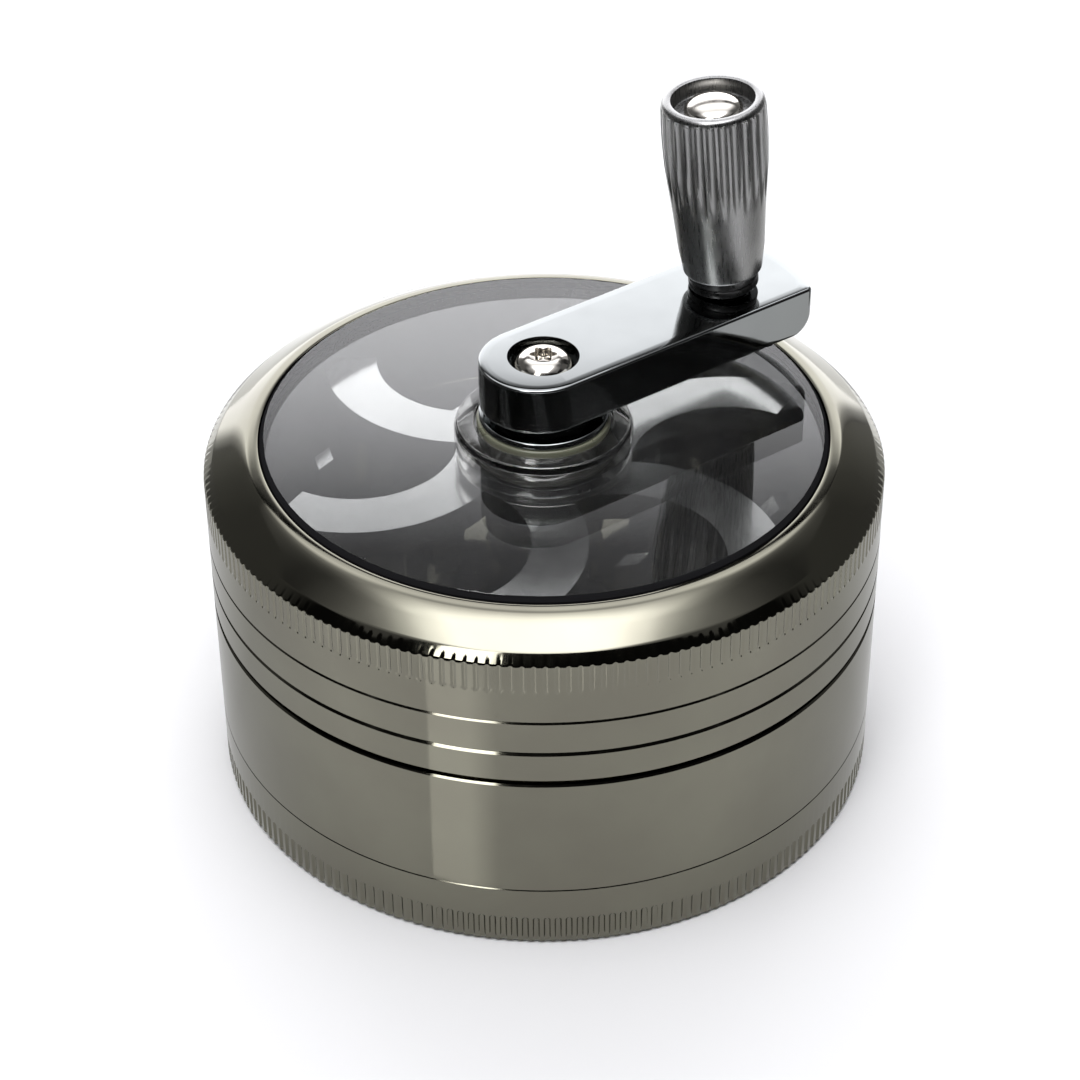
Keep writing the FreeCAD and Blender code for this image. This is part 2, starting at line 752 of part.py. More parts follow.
os.makedirs("parts", exist_ok=True)
for name, make in makers.items():
    shape = make()
    shape.exportStep("parts/" + name + ".step")
    print(name, len(shape.Solids), "solid", round(shape.Volume, 2), "mm3", shape.isValid())
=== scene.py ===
import bmesh
import bpy
import math
from mathutils import Matrix, Quaternion, Vector


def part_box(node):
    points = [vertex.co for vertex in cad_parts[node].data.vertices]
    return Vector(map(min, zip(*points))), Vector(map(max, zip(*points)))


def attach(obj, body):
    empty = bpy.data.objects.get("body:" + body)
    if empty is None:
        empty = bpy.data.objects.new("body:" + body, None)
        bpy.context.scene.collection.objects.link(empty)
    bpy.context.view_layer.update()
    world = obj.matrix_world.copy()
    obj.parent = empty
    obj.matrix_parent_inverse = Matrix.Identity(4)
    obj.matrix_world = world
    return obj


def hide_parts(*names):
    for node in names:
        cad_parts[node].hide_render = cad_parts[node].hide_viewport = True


# A round herb grinder in polished black nickel, with a clear window in its lid and a crank on top.
# Sizes in the dictionaries are millimetres and degrees unless a note says otherwise.
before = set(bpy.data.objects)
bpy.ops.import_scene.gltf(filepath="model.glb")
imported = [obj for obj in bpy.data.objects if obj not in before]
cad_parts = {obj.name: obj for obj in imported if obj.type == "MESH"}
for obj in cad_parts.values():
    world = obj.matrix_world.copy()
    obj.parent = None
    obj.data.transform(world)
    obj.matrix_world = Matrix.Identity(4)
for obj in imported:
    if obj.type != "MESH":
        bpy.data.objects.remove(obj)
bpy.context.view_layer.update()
mm = 0.001
print("frame loaded:", len(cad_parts), "nodes")


# Radius, bottom and top of a round CAD node, in millimetres.
def span(node):
    low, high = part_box(node)
    return {"radius": (high.x - low.x) / 2 / mm, "bottom": low.z / mm, "top": high.z / mm}


# Camera, at the photograph's angle
camera = {
    "place": (0, -219.44, 185.37),
    "target": (-0.433, 0, 22.018),
    "lens": 96.08,
    "sensor": 36,
    "roll": -0.464,
    "nearest": 10,
}


def addCamera():
    lens = bpy.data.cameras.new("camera")
    lens.lens = camera["lens"]
    lens.sensor_width = camera["sensor"]
    lens.clip_start = camera["nearest"] * mm
    item = bpy.data.objects.new("camera", lens)
    bpy.context.collection.objects.link(item)
    place = Vector(camera["place"]) * mm
    look = Vector(camera["target"]) * mm - place
    turn = look.to_track_quat("-Z", "Y") @ Quaternion((0, 0, 1), math.radians(camera["roll"]))
    item.location = place
    item.rotation_euler = turn.to_euler()
    bpy.context.scene.camera = item


addCamera()
bpy.context.scene.view_settings.view_transform = "Standard"
print("camera placed")


# A socket of a node tree, so that shader maths reads as Python. Without a socket it only starts nodes.
class Wire:
    def __init__(self, tree, socket=None):
        self.tree = tree
        self.socket = socket

    def node(self, kind, settings, sockets, out=0):
        made = self.tree.nodes.new(kind)
        for name, value in settings.items():
            if name == "stops":
                stops = made.color_ramp.elements
                while len(stops) < len(value):
                    stops.new(1)
                for stop, (place, shade) in zip(stops, value):
                    stop.position = place
                    stop.color = shade
            else:
                setattr(made, name, value)
        for name, value in sockets.items():
            if isinstance(value, Wire):
                self.tree.links.new(value.socket, made.inputs[name])
            else:
                made.inputs[name].default_value = value
        return Wire(self.tree, made.outputs[out] if made.outputs else None)

    def maths(self, operation, *values):
        return self.node("ShaderNodeMath", {"operation": operation}, dict(enumerate(values)))

    def __add__(self, other):
        return self.maths("ADD", self, other)

    def __sub__(self, other):
        return self.maths("SUBTRACT", self, other)

    def __mul__(self, other):
        return self.maths("MULTIPLY", self, other)

    def __truediv__(self, other):
        return self.maths("DIVIDE", self, other)

    def __gt__(self, other):
        return self.maths("GREATER_THAN", self, other)

    def __lt__(self, other):
        return self.maths("LESS_THAN", self, other)

    def __abs__(self):
        return self.maths("ABSOLUTE", self)

    # This value, from 0 to 1, leads from one colour to the other.
    def colours(self, first, second):
        settings = {"data_type": "RGBA"}
        return self.node("ShaderNodeMix", settings, {0: self, 6: first, 7: second}, 2)

    # The same with two shaders
    def shaders(self, first, second):
        return self.node("ShaderNodeMixShader", {}, {0: self, 1: first, 2: second})

    # The value as it runs from low to high, brought to the range from start to stop.
    def ranged(self, low, high, start, stop):
        sockets = {"Value": self, "From Min": low, "From Max": high, "To Min": start, "To Max": stop}
        return self.node("ShaderNodeMapRange", {"clamp": True}, sockets)

    # The colour at this value along a row of (place, colour) stops.
    def ramp(self, stops):
        return self.node("ShaderNodeValToRGB", {"stops": stops}, {"Fac": self})


def rgba(red, green, blue):
    return (red, green, blue, 1)


def grey(level):
    return rgba(level, level, level)


# Where the Light Path node gives each kind of ray
rayOutputs = {"camera": 0, "shadow": 1, "glossy": 3, "transmission": 6}


def rayIs(start, kind):
    return start.node("ShaderNodeLightPath", {}, {}, rayOutputs[kind])


def makeMaterial(name, paint):
    material = bpy.data.materials.new(name)
    material.use_nodes = True
    material.node_tree.nodes.clear()
    start = Wire(material.node_tree)
    start.node("ShaderNodeOutputMaterial", {}, {"Surface": paint(start)})
    return material


# Coordinates in millimetres on the piece itself, multiplied by a scale.
def placeOn(start, scale=(1, 1, 1)):
    here = start.node("ShaderNodeTexCoord", {}, {}, 3)
    stretch = tuple(part / mm for part in scale)
    return start.node("ShaderNodeMapping", {}, {"Vector": here, "Scale": stretch})


# One of those coordinates: 0 across, 1 in depth, 2 upwards.
def coordinate(start, axis):
    return start.node("ShaderNodeSeparateXYZ", {}, {0: placeOn(start)}, axis)


# The distance from the grinder's axis.
def axisDistance(start):
    across = coordinate(start, 0)
    depth = coordinate(start, 1)
    return start.maths("SQRT", across * across + depth * depth)


def noise(start, size, detail, scale=(1, 1, 1)):
    sockets = {"Vector": placeOn(start, scale), "Scale": 1 / size, "Detail": detail}
    return start.node("ShaderNodeTexNoise", {}, sockets)


def bump(start, height, distance):
    return start.node("ShaderNodeBump", {}, {"Height": height, "Distance": distance * mm})


def surface(start, sockets):
    return start.node("ShaderNodeBsdfPrincipled", {}, sockets)


def matt(start, colour):
    return start.node("ShaderNodeBsdfDiffuse", {}, {"Color": colour})


def seeThrough(start, colour=grey(1)):
    return start.node("ShaderNodeBsdfTransparent", {}, {"Color": colour})


def shining(start, colour, strength=1):
    return start.node("ShaderNodeEmission", {}, {"Color": colour, "Strength": strength})


# The studio: a white floor, a glowing wall behind, a wide soft light overhead, a narrow one at the
# front left and dark surroundings. The camera sees only the floor and the white world. A row of stops
# is (place, level), and places on the wall and overhead are shares of the reach.
studio = {
    "reach": 1500,
    "floorColour": 0.81,
    "floorDrop": 0.2,
    "wallSides": ((-0.74, 0.07), (-0.68, 0.28), (-0.61, 1), (0.51, 1), (0.56, 0.3), (0.62, 0.06)),
    "wallGlow": 3.2,
    "wallHeights": ((0, 1), (0.60, 1), (0.64, 0.92), (0.67, 0.80), (0.70, 0.60), (0.74, 0.30), (0.78, 0.08),
                    (0.9, 0)),
    "overheadGlow": 6.6,
    "overheadHalf": 1.05,
    "overheadShift": -0.03,
    "overheadSides": ((0.29, 1), (0.40, 0.66), (0.46, 0.36), (0.53, 0.17), (0.60, 0.10), (0.66, 0.08),
                      (0.8, 0.06), (1, 0.035)),
    "overheadSpread": 0.6,
    "overheadDepth": ((-0.58, 0.7), (-0.4, 0.88), (-0.25, 1), (-0.1, 1), (-0.02, 0.88), (0.06, 0.6),
                      (0.14, 0.4), (0.25, 0.22), (0.34, 0.2), (0.6, 0.36), (0.75, 0.4), (1, 0.3)),
    "lightBlue": 1.03,
    "stripGlow": 8,
    "stripAzimuths": (-162, -140),
    "stripElevations": (43, 58),
    "patchHeight": 0.5,
    "patchOrigin": (-0.3, -18.2),
    "patches": {
        "stripPatch": (0.5, (0.3, 0.5), ((-14.6, -34.9), (-6.0, -37.4), (-49.3, -75.3), (-21.4, -88.7))),
        "backPatch": (0.6, None, ((-600, 90), (600, 90), (-600, 1400), (600, 1400))),
    },
    "darkReach": 2,
    "darkStops": ((0.45, 0.01), (0.54, 0.11), (0.78, 0.12), (0.84, 0.17), (0.90, 0.3), (1, 0.4)),
    "darkFloorGlow": 0.14,
    "darkFloorHeight": 0.3,
    "whiteFloor": ((98, -1500), (98, 95), (920, 1500)),
    "shade": {"near": 0.58, "far": 0.87, "across": (33, 68), "from": -34, "to": -2, "end": 95, "width": 98,
              "height": 0.4},
    "sky": 0.3,
}


def lightShade(level):
    return rgba(level, level, level * studio["lightBlue"])


def glow(name, strength, paint=None):
    def emission(start):
        return shining(start, paint(start) if paint else grey(1), strength)
    return makeMaterial(name, emission)


# The kinds of ray that don't see a light that only the polished metal mirrors
mirroredOnly = ("camera", "diffuse", "shadow", "transmission")


def stageItem(name, bm, material, unseenBy=("camera",)):
    mesh = bpy.data.meshes.new(name)
    bm.to_mesh(mesh)
    bm.free()
    mesh.materials.append(material)
    item = bpy.data.objects.new(name, mesh)
    bpy.context.collection.objects.link(item)
    for ray in unseenBy:
        setattr(item, "visible_" + ray, False)
    return item


# A flat or bent sheet through pairs of points, in millimetres.
def sheetThrough(pairs):
    bm = bmesh.new()
    last = None
    for low, high in pairs:
        edge = [bm.verts.new(Vector(point) * mm) for point in (low, high)]
        if last:
            bm.faces.new((last[0], edge[0], edge[1], last[1]))
        last = edge
    return bm


# Azimuth 0 is behind the grinder and grows to the right, as the camera sees it.
def towards(azimuth, elevation, reach):
    turn = math.radians(azimuth)
    lift = math.radians(elevation)
    flat = reach * math.cos(lift)
    return (flat * math.sin(turn), flat * math.cos(turn), reach * math.sin(lift))


def addFloor():
    def paint(start):
        return matt(start, grey(studio["floorColour"]))
    bm = bmesh.new()
    bmesh.ops.create_circle(bm, cap_ends=True, radius=studio["reach"] * mm, segments=96)
    bmesh.ops.translate(bm, vec=(0, 0, -studio["floorDrop"] * mm), verts=bm.verts)
    stageItem("floor", bm, makeMaterial("floorPaper", paint), ())


def addWall():
    reach = studio["reach"]
    left, right = (reach * studio["wallSides"][end][0] for end in (0, -1))
    sides = [((place + 1) / 2, grey(level)) for place, level in studio["wallSides"]]
    heights = [(place, lightShade(level)) for place, level in studio["wallHeights"]]

    def paint(start):
        across = coordinate(start, 0) / reach
        height = coordinate(start, 2) / reach
        return ((across + 1) / 2).ramp(sides).colours(grey(0), height.ramp(heights))
    bm = sheetThrough([((left, reach, 0), (left, reach, reach)), ((right, reach, 0), (right, reach, reach))])
    stageItem("wallLight", bm, glow("wallGlow", studio["wallGlow"], paint))


def addOverhead():
    reach = studio["reach"]
    half = reach * studio["overheadHalf"]
    front, back = (reach * studio["overheadDepth"][end][0] for end in (0, -1))
    rows = [((place + 1) / 2, grey(level)) for place, level in studio["overheadDepth"]]
    sides = [(place, lightShade(level)) for place, level in studio["overheadSides"]]

    def paint(start):
        depth = coordinate(start, 1) / reach
        side = coordinate(start, 0) / reach - studio["overheadShift"]
        side = side / (depth * studio["overheadSpread"] + 1)
        return ((depth + 1) / 2).ramp(rows).colours(grey(0), abs(side).ramp(sides))
    bm = sheetThrough([((-half, y, reach), (half, y, reach)) for y in (front, back)])
    stageItem("overheadLight", bm, glow("overheadGlow", studio["overheadGlow"], paint))


def addStrip():
    low, high = studio["stripElevations"]
    first, last = studio["stripAzimuths"]
    pairs = [(towards(turn, low, studio["reach"]), towards(turn, high, studio["reach"]))
             for turn in (first, (first + last) / 2, last)]
    stageItem("stripLight", sheetThrough(pairs), glow("stripGlow", studio["stripGlow"]))


# Light that lies on the floor, seen only in the polished walls: a level, a range of slants over which
# it fades in, and four corners. A slant is the way across over the way in depth, from one spot.
def addPatches():
    spotX, spotY = studio["patchOrigin"]
    for name, (level, slants, spots) in studio["patches"].items():
        corners = [(x, y, studio["patchHeight"]) for x, y in spots]

        def paint(start):
            colour = grey(level)
            if slants:
                slant = (coordinate(start, 0) - spotX) / (coordinate(start, 1) - spotY)
                colour = slant.ranged(*slants, 0, 1).colours(grey(0), colour)
            return start.node("ShaderNodeAddShader", {}, {0: seeThrough(start), 1: shining(start, colour)})
        bm = sheetThrough([corners[:2], corners[2:]])
        stageItem(name, bm, makeMaterial(name, paint), mirroredOnly)


# The floor's dimmer sides, also seen only in the polished walls.
def addShades():
    shade = studio["shade"]

    def paint(start):
        level = abs(coordinate(start, 0)).ranged(*shade["across"], 0, 1)
        colour = level.colours(grey(shade["near"]), grey(shade["far"]))
        share = coordinate(start, 1).ranged(shade["from"], shade["to"], 0, 1)
        return share.shaders(seeThrough(start), shining(start, colour))
    dimmed = makeMaterial("shadeGlow", paint)
    for name, side in (("shadeLeft", -1), ("shadeRight", 1)):
        ends = (shade["from"], shade["end"])
        pairs = [((0, y, shade["height"]), (side * shade["width"], y, shade["height"])) for y in ends]
        stageItem(name, sheetThrough(pairs), dimmed, mirroredOnly)


# Too dim to be sampled as lamps
def leaveUnsampled(item):
    item.data.materials[0].cycles.emission_sampling = "NONE"


def addDarkness():
    reach = studio["reach"]
    radius = reach * studio["darkReach"]
    height = studio["darkFloorHeight"]
    stops = [(place, grey(level)) for place, level in studio["darkStops"]]

    def paint(start):
        return (coordinate(start, 1) / (2 * radius) + 0.5).ramp(stops)
    bm = bmesh.new()
    bmesh.ops.create_icosphere(bm, subdivisions=4, radius=radius * mm)
    bmesh.ops.reverse_faces(bm, faces=bm.faces)
    leaveUnsampled(stageItem("surroundings", bm, glow("darkGlow", 1, paint), ("camera", "shadow")))
    for name, side in (("darkFloorLeft", -1), ("darkFloorRight", 1)):
        pairs = [((side * x, y, height), (side * reach, y, height)) for x, y in studio["whiteFloor"]]
        dim = glow(name, studio["darkFloorGlow"])
        leaveUnsampled(stageItem(name, sheetThrough(pairs), dim, ("camera", "diffuse", "shadow")))


def addWorld():
    world = bpy.data.worlds.new("white")
    bpy.context.scene.world = world
    world.use_nodes = True
    world.node_tree.nodes.clear()
    start = Wire(world.node_tree)
    rays = rayIs(start, "camera") + rayIs(start, "glossy") + rayIs(start, "transmission")
    level = rays.ranged(0, 1, studio["sky"], 1)
    sky = start.node("ShaderNodeBackground", {}, {"Color": grey(1), "Strength": level})
    start.node("ShaderNodeOutputWorld", {}, {"Surface": sky})


addFloor()
addWall()
addOverhead()
addStrip()
addPatches()
addShades()
addDarkness()
addWorld()
print("studio lit")


# Finishes. Colours are linear, and sizes are those of the marks. Noise is spread from a span of its
# values, and "polish" is the roughness from its smoothest to its roughest spots.
spread = {"wide": (0.3, 0.7), "narrow": (0.35, 0.65)}
plating = {"clouds": 9, "haze": 2.5, "ripple": 4.5, "rippleHeight": 0.004}
patchShade = 0.86


def plated(name, light, dark, polish):
    def paint(start):
        clouds = noise(start, plating["clouds"], 3).ranged(*spread["narrow"], 0, 1)
        haze = noise(start, plating["haze"], 4, (1, 1, 0.6)).ranged(*spread["wide"], *polish)
        sockets = {"Base Color": clouds.colours(light, dark), "Metallic": 1.0, "Roughness": haze}
        sockets["Normal"] = bump(start, noise(start, plating["ripple"], 1), plating["rippleHeight"])
        return surface(start, sockets)
    return makeMaterial(name, paint)


def metal(name, colour, polish, size):
    def paint(start):
        grain = noise(start, size, 3)
        sockets = {"Base Color": grain.colours(colour, rgba(*[part * patchShade for part in colour[:3]]))}
        sockets["Metallic"] = 1.0
        sockets["Roughness"] = grain.ranged(*spread["wide"], *polish)
        return surface(start, sockets)
    return makeMaterial(name, paint)


# Bare cast zinc, faced on a lathe: faint rings about the grinder's axis.
turnedZinc = {
    "light": rgba(0.47, 0.47, 0.46),
    "dark": rgba(0.43, 0.43, 0.42),
    "grain": 2.2,
    "polish": (0.15, 0.18),
    "pitch": 0.42,
    "depth": 0.00012,
}


def paintZinc(start):
    wave = start.maths("SINE", axisDistance(start) * (2 * math.pi / turnedZinc["pitch"]))
    grain = noise(start, turnedZinc["grain"], 3)
    sockets = {"Base Color": grain.colours(turnedZinc["light"], turnedZinc["dark"]), "Metallic": 1.0}
    sockets["Roughness"] = grain.ranged(*spread["wide"], *turnedZinc["polish"])
    sockets["Normal"] = bump(start, wave, turnedZinc["depth"])
    return surface(start, sockets)


# Clear acrylic, with a little handling film on it. The boss in its middle is tinted darker as painted shade
# for the arm's shadow on it, and its edge is a dark matt colour as painted shade from the lid's lip.
acrylic = {
    "clear": rgba(0.97, 0.98, 0.98),
    "paintedBossShade": rgba(0.38, 0.38, 0.37),
    "paintedBossShadeTo": 8.3,
    "paintedRimShade": rgba(0.012, 0.012, 0.013),
    "paintedRimShadeFrom": 25.8,
    "bending": 1.58,
    "smear": 14,
    "dullSpan": (0.45, 0.75),
    "dull": 0.03,
    "filmSpan": (0.45, 0.72),
    "film": 0.012,
    "dust": grey(0.8),
    "shadow": grey(0.9),
}


def paintAcrylic(start):
    radius = axisDistance(start)
    # Painted shade: inside this radius the acrylic is tinted darker, standing in for the arm's shadow on the
    # boss.
    colour = (radius < acrylic["paintedBossShadeTo"]).colours(acrylic["clear"], acrylic["paintedBossShade"])
    smear = noise(start, acrylic["smear"], 3, (1, 0.35, 1))
    sockets = {"Base Color": colour, "Roughness": smear.ranged(*acrylic["dullSpan"], 0, acrylic["dull"])}
    sockets["IOR"] = acrylic["bending"]
    sockets["Transmission Weight"] = 1.0
    clear = surface(start, sockets)
    film = smear.ranged(*acrylic["filmSpan"], 0, acrylic["film"]).shaders(clear, matt(start, acrylic["dust"]))
    # Painted shade: past this radius the window's edge turns a dark matt colour, standing in for the shade of
    # the lid's lip.
    body = (radius > acrylic["paintedRimShadeFrom"]).shaders(film, matt(start, acrylic["paintedRimShade"]))
    air = seeThrough(start, acrylic["shadow"])
    return rayIs(start, "shadow").shaders(body, air)


nylon = {
    "light": rgba(0.42, 0.43, 0.30),
    "dark": rgba(0.34, 0.35, 0.24),
    "cloud": 1.5,
    "polish": (0.25, 0.4),
    "bending": 1.5,
    "clearness": 0.55,
}


def paintNylon(start):
    cloud = noise(start, nylon["cloud"], 3)
    sockets = {"Base Color": cloud.colours(nylon["light"], nylon["dark"]), "IOR": nylon["bending"]}
    sockets["Roughness"] = cloud.ranged(*spread["wide"], *nylon["polish"])
    sockets["Transmission Weight"] = nylon["clearness"]
    return surface(start, sockets)


finishes = {
    "case": plated("blackNickelCase", rgba(0.185, 0.18, 0.143), rgba(0.17, 0.163, 0.131), (0.05, 0.11)),
    "crank": plated("blackNickelCrank", rgba(0.285, 0.297, 0.297), rgba(0.265, 0.276, 0.276), (0.035, 0.08)),
    "steel": metal("polishedSteel", rgba(0.66, 0.63, 0.58), (0.08, 0.2), 1.4),
    # Dark steel. On the knob's collar this finish also serves as painted shade under the knob.
    "dark": metal("darkSteelAndPaintedShade", grey(0.10), (0.22, 0.4), 0.8),
    "zinc": makeMaterial("turnedZinc", paintZinc),
    "acrylic": makeMaterial("clearAcrylic", paintAcrylic),
    "nylon": makeMaterial("nylon", paintNylon),
    "greyNylon": metal("greyNylon", rgba(0.12, 0.12, 0.11), (0.4, 0.6), 0.9),
    "magnet": metal("magnetNickel", rgba(0.5, 0.49, 0.46), (0.12, 0.3), 1.1),
    "net": metal("netWire", rgba(0.45, 0.45, 0.43), (0.2, 0.35), 0.5),
}
print("finishes made")


# Modelling. A profile is a list of (radius, height) steps; a third number rounds that corner. Points
# closer than the weld are joined, and the walls stand a hair inside the CAD walls. The facets are how
# many sides a round piece has.
weld = 0.003
hair = 0.002
facets = {"storey": 384, "window": 256, "floor": 192, "ring": 160, "screw": 144, "collar": 112,
          "small": 96, "well": 72, "boss": 64}


def roundCorners(bm, verts, offset):
    bmesh.ops.bevel(bm, geom=verts, offset=offset * mm, offset_type="OFFSET", segments=4, profile=0.5,
                    affect="VERTICES", material=-1)


def profile(steps, closed):
    bm = bmesh.new()
    verts = [bm.verts.new((step[0] * mm, 0, step[1] * mm)) for step in steps]
    for here, after in zip(verts, verts[1:]):
        bm.edges.new((here, after))
    if closed:
        bm.edges.new((verts[-1], verts[0]))
    for vert, step in zip(verts, steps):
        if len(step) > 2 and step[2]:
            roundCorners(bm, [vert], step[2])
    return bm


# The profile taken round the axis, spun through one sector that is then repeated. A profile that
# starts on the axis ends on it too.
def turned(steps, around, sectors=16):
    bm = profile(steps, steps[0][0] > 0)
    share = 2 * math.pi / sectors
    bmesh.ops.spin(bm, geom=bm.verts[:] + bm.edges[:], cent=(0, 0, 0), axis=(0, 0, 1), dvec=(0, 0, 0),
                   angle=share, steps=around // sectors, use_merge=False)
    part = bpy.data.meshes.new("sector")
    bm.to_mesh(part)
    for _ in range(1, sectors):
        part.transform(Matrix.Rotation(share, 4, "Z"))
        bm.from_mesh(part)
    bpy.data.meshes.remove(part)
    bmesh.ops.remove_doubles(bm, verts=bm.verts, dist=weld * mm)
    return bm


# The outline of a plain ring, with one roundness for its corners
def ringSteps(bore, radius, low, high, soft=0):
    return [(bore, low, soft), (radius, low, soft), (radius, high, soft), (bore, high, soft)]


# The points and the edges that an extrusion made
def pointsOf(made):
    return [item for item in made["geom"] if isinstance(item, bmesh.types.BMVert)]


def edgesAmong(made, points):
    edges = [item for item in made["geom"] if isinstance(item, bmesh.types.BMEdge)]
    return [edge for edge in edges if all(vert in points for vert in edge.verts)]


def joinInto(bm, other):
    spare = bpy.data.meshes.new("spare")
    other.to_mesh(spare)
    other.free()
    bm.from_mesh(spare)
    bpy.data.meshes.remove(spare)


def dress(name, bm, body, node, finish, sharp=30):
    bmesh.ops.recalc_face_normals(bm, faces=bm.faces)
    mesh = bpy.data.meshes.new(name)
    bm.to_mesh(mesh)
    bm.free()
    mesh.shade_smooth()
    mesh.set_sharp_from_angle(angle=math.radians(sharp))
    mesh.materials.append(finishes[finish])
    item = bpy.data.objects.new(name, mesh)
    bpy.context.collection.objects.link(item)
    weighted = item.modifiers.new("evenFaces", "WEIGHTED_NORMAL")
    weighted.keep_sharp = True
    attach(item, body)
    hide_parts(node)


# Rings of a screw thread on a wall, from one height to another, and the ones inside a rim and outside
# the skirt that turns in it. "inset" is how far they keep from the ends of their wall. "rim" and "skirt"
# are the walls that carry them.
thread = {"height": 0.15, "pitch": 1.0, "count": 3, "gap": 0.1, "inset": 0.15, "rim": 2.15, "skirt": 1.3}


def threadSteps(root, crest, start, stop):
    way = 1 if stop > start else -1
    share = abs(stop - start) / thread["count"]
    flank = thread["height"]
    half = max(min(thread["pitch"], share) / 2 - flank, flank / 2)
    steps = []
    for turn in range(thread["count"]):
        middle = start + way * (turn + 0.5) * share
        steps.append((root, middle - way * (half / 2 + flank)))
        steps.append((crest, middle - way * half / 2))
        steps.append((crest, middle + way * half / 2))
        steps.append((root, middle + way * (half / 2 + flank)))
    return steps


def insideThread(root, top, seat):
    rings = threadSteps(root, root - thread["height"], top - thread["inset"], seat)
    return [(root, top), *rings, (root, seat)]


def skirtRadius(rimRoot):
    return rimRoot - 2 * thread["height"] - thread["gap"]


def outsideThread(root, low, high):
    rings = threadSteps(root, root + thread["height"], low + thread["inset"], high - thread["inset"])
    return [(root, low), *rings, (root, high)]


# Upright half-round notches: the columns of each one, as distances from its middle, where None stands
# for halfway to the next notch, and the heights of the rows at its round end, which can be stretched.
reedCount = 200
lidReeds = {
    "radius": 0.3625,
    "depth": 0.1,
    "columns": (0, 0.1, 0.19, 0.25, None, -0.25, -0.19, -0.1),
    "ends": (0, 0.09, 0.17, 0.22, 0.25),
    "stretch": 2,
}
trayReeds = {
    "radius": 0.335,
    "depth": 0.22,
    "columns": (0, 0.13, 0.24, 0.313, None, -0.313, -0.24, -0.13),
    "ends": (0, 0.12, 0.22, 0.28, 0.313),
    "stretch": 1,
}

# Only points this close to the outside are moved.
reedWall = 0.8


# A point's new angle round the axis, and its distance from the middle of the notch nearest to it.
def besideNotch(vert, count, columns, radius):
    step = 2 * math.pi / count
    place = round(math.atan2(vert.co.y, vert.co.x) / step * len(columns))
    across = columns[place % len(columns)]
    if across is None:
        return (math.floor(place / len(columns)) + 0.5) * step, radius * step / 2
    return math.floor(place / len(columns) + 0.5) * step + across / radius, across


def moveTo(vert, radius, angle):
    vert.co.x = radius * mm * math.cos(angle)
    vert.co.y = radius * mm * math.sin(angle)


def cutReeds(bm, reeds, radius, bottom, top):
    axis = radius - reeds["depth"] + reeds["radius"]
    for vert in bm.verts:
        flat = math.hypot(vert.co.x, vert.co.y) / mm
        if flat < radius - reedWall:
            continue
        angle, across = besideNotch(vert, reedCount, reeds["columns"], radius)
        height = vert.co.z / mm
        beyond = max(bottom - height, height - top, 0) / reeds["stretch"]
        room = reeds["radius"] ** 2 - across ** 2 - beyond ** 2
        if room > 0:
            flat = min(flat, axis - math.sqrt(room))
        moveTo(vert, flat, angle)


bodyRadius = span("sieve_case")["radius"] - hair

# Tray, open at the top, with reeds that run out at its foot
tray = {
    "wall": 3.4,
    "floor": 1.3,
    "seat": 3.0,
    "slope": 2.4,
    "slopeRound": 0.8,
    "bevel": 0.25,
    "bevelMiddle": (0.07, 0.08),
    "break": 0.1,
    "reed": 3.0,
    "reedGap": 0.05,
}


def addTray():
    radius = bodyRadius
    top = span("tray")["top"]
    bore = radius - tray["wall"]
    reedTop = tray["reed"] - trayReeds["ends"][-1]
    inset, lift = tray["bevelMiddle"]
    steps = [(0, 0), (radius - tray["bevel"], 0), (radius - inset, lift), (radius, tray["bevel"])]
    steps += [(radius, reedTop + end) for end in trayReeds["ends"]]
    steps += [(radius, tray["reed"] + tray["reedGap"]), (radius, top - tray["break"])]
    steps += [(radius - tray["break"], top), *insideThread(radius - thread["rim"], top, tray["seat"])]
    steps += [(bore, tray["seat"]), (bore - tray["slope"], tray["floor"], tray["slopeRound"])]
    steps += [(0, tray["floor"])]
    bm = turned(steps, reedCount * len(trayReeds["columns"]), reedCount)
    cutReeds(bm, trayReeds, radius, -math.inf, reedTop)
    dress("trayShell", bm, "base", "tray", "case")


addTray()
print("tray made")

# Sieve case
sieveCase = {
    "wall": 3.3,
    "skirtDrop": 0.15,
    "seat": 4.25,
    "ledge": 2.0,
    "ledgeHeight": 0.9,
    "ledgeLift": 0.65,
    "break": 0.16,
    "lowBreak": 0.06,
}


def addSieveCase():
    size = span("sieve_case")
    radius = bodyRadius
    base = span("tray")["top"]
    top = size["top"]
    root = radius - thread["rim"]
    male = skirtRadius(root)
    skirt = male - thread["skirt"]
    bore = radius - sieveCase["wall"]
    edge = bore - sieveCase["ledge"]
    under = base + sieveCase["ledgeLift"]
    seat = under + sieveCase["ledgeHeight"]
    steps = [(skirt, size["bottom"]), *outsideThread(male, size["bottom"], base)]
    steps += [(radius - sieveCase["lowBreak"], base), (radius, base + sieveCase["lowBreak"])]
    steps += [(radius, top - sieveCase["break"]), (radius - sieveCase["break"], top)]
    steps += [*insideThread(root, top, top - sieveCase["seat"]), (bore, top - sieveCase["seat"])]
    steps += [(bore, seat), (edge, seat), (edge, under), (skirt, base - sieveCase["skirtDrop"])]
    dress("sieveCaseShell", turned(steps, facets["storey"]), "sieve", "sieve_case", "case")


addSieveCase()

# Woven net and the ring that holds it
net = {"pitch": 1.0, "wire": 0.13, "sides": 5, "border": 1.7, "lap": 0.5}


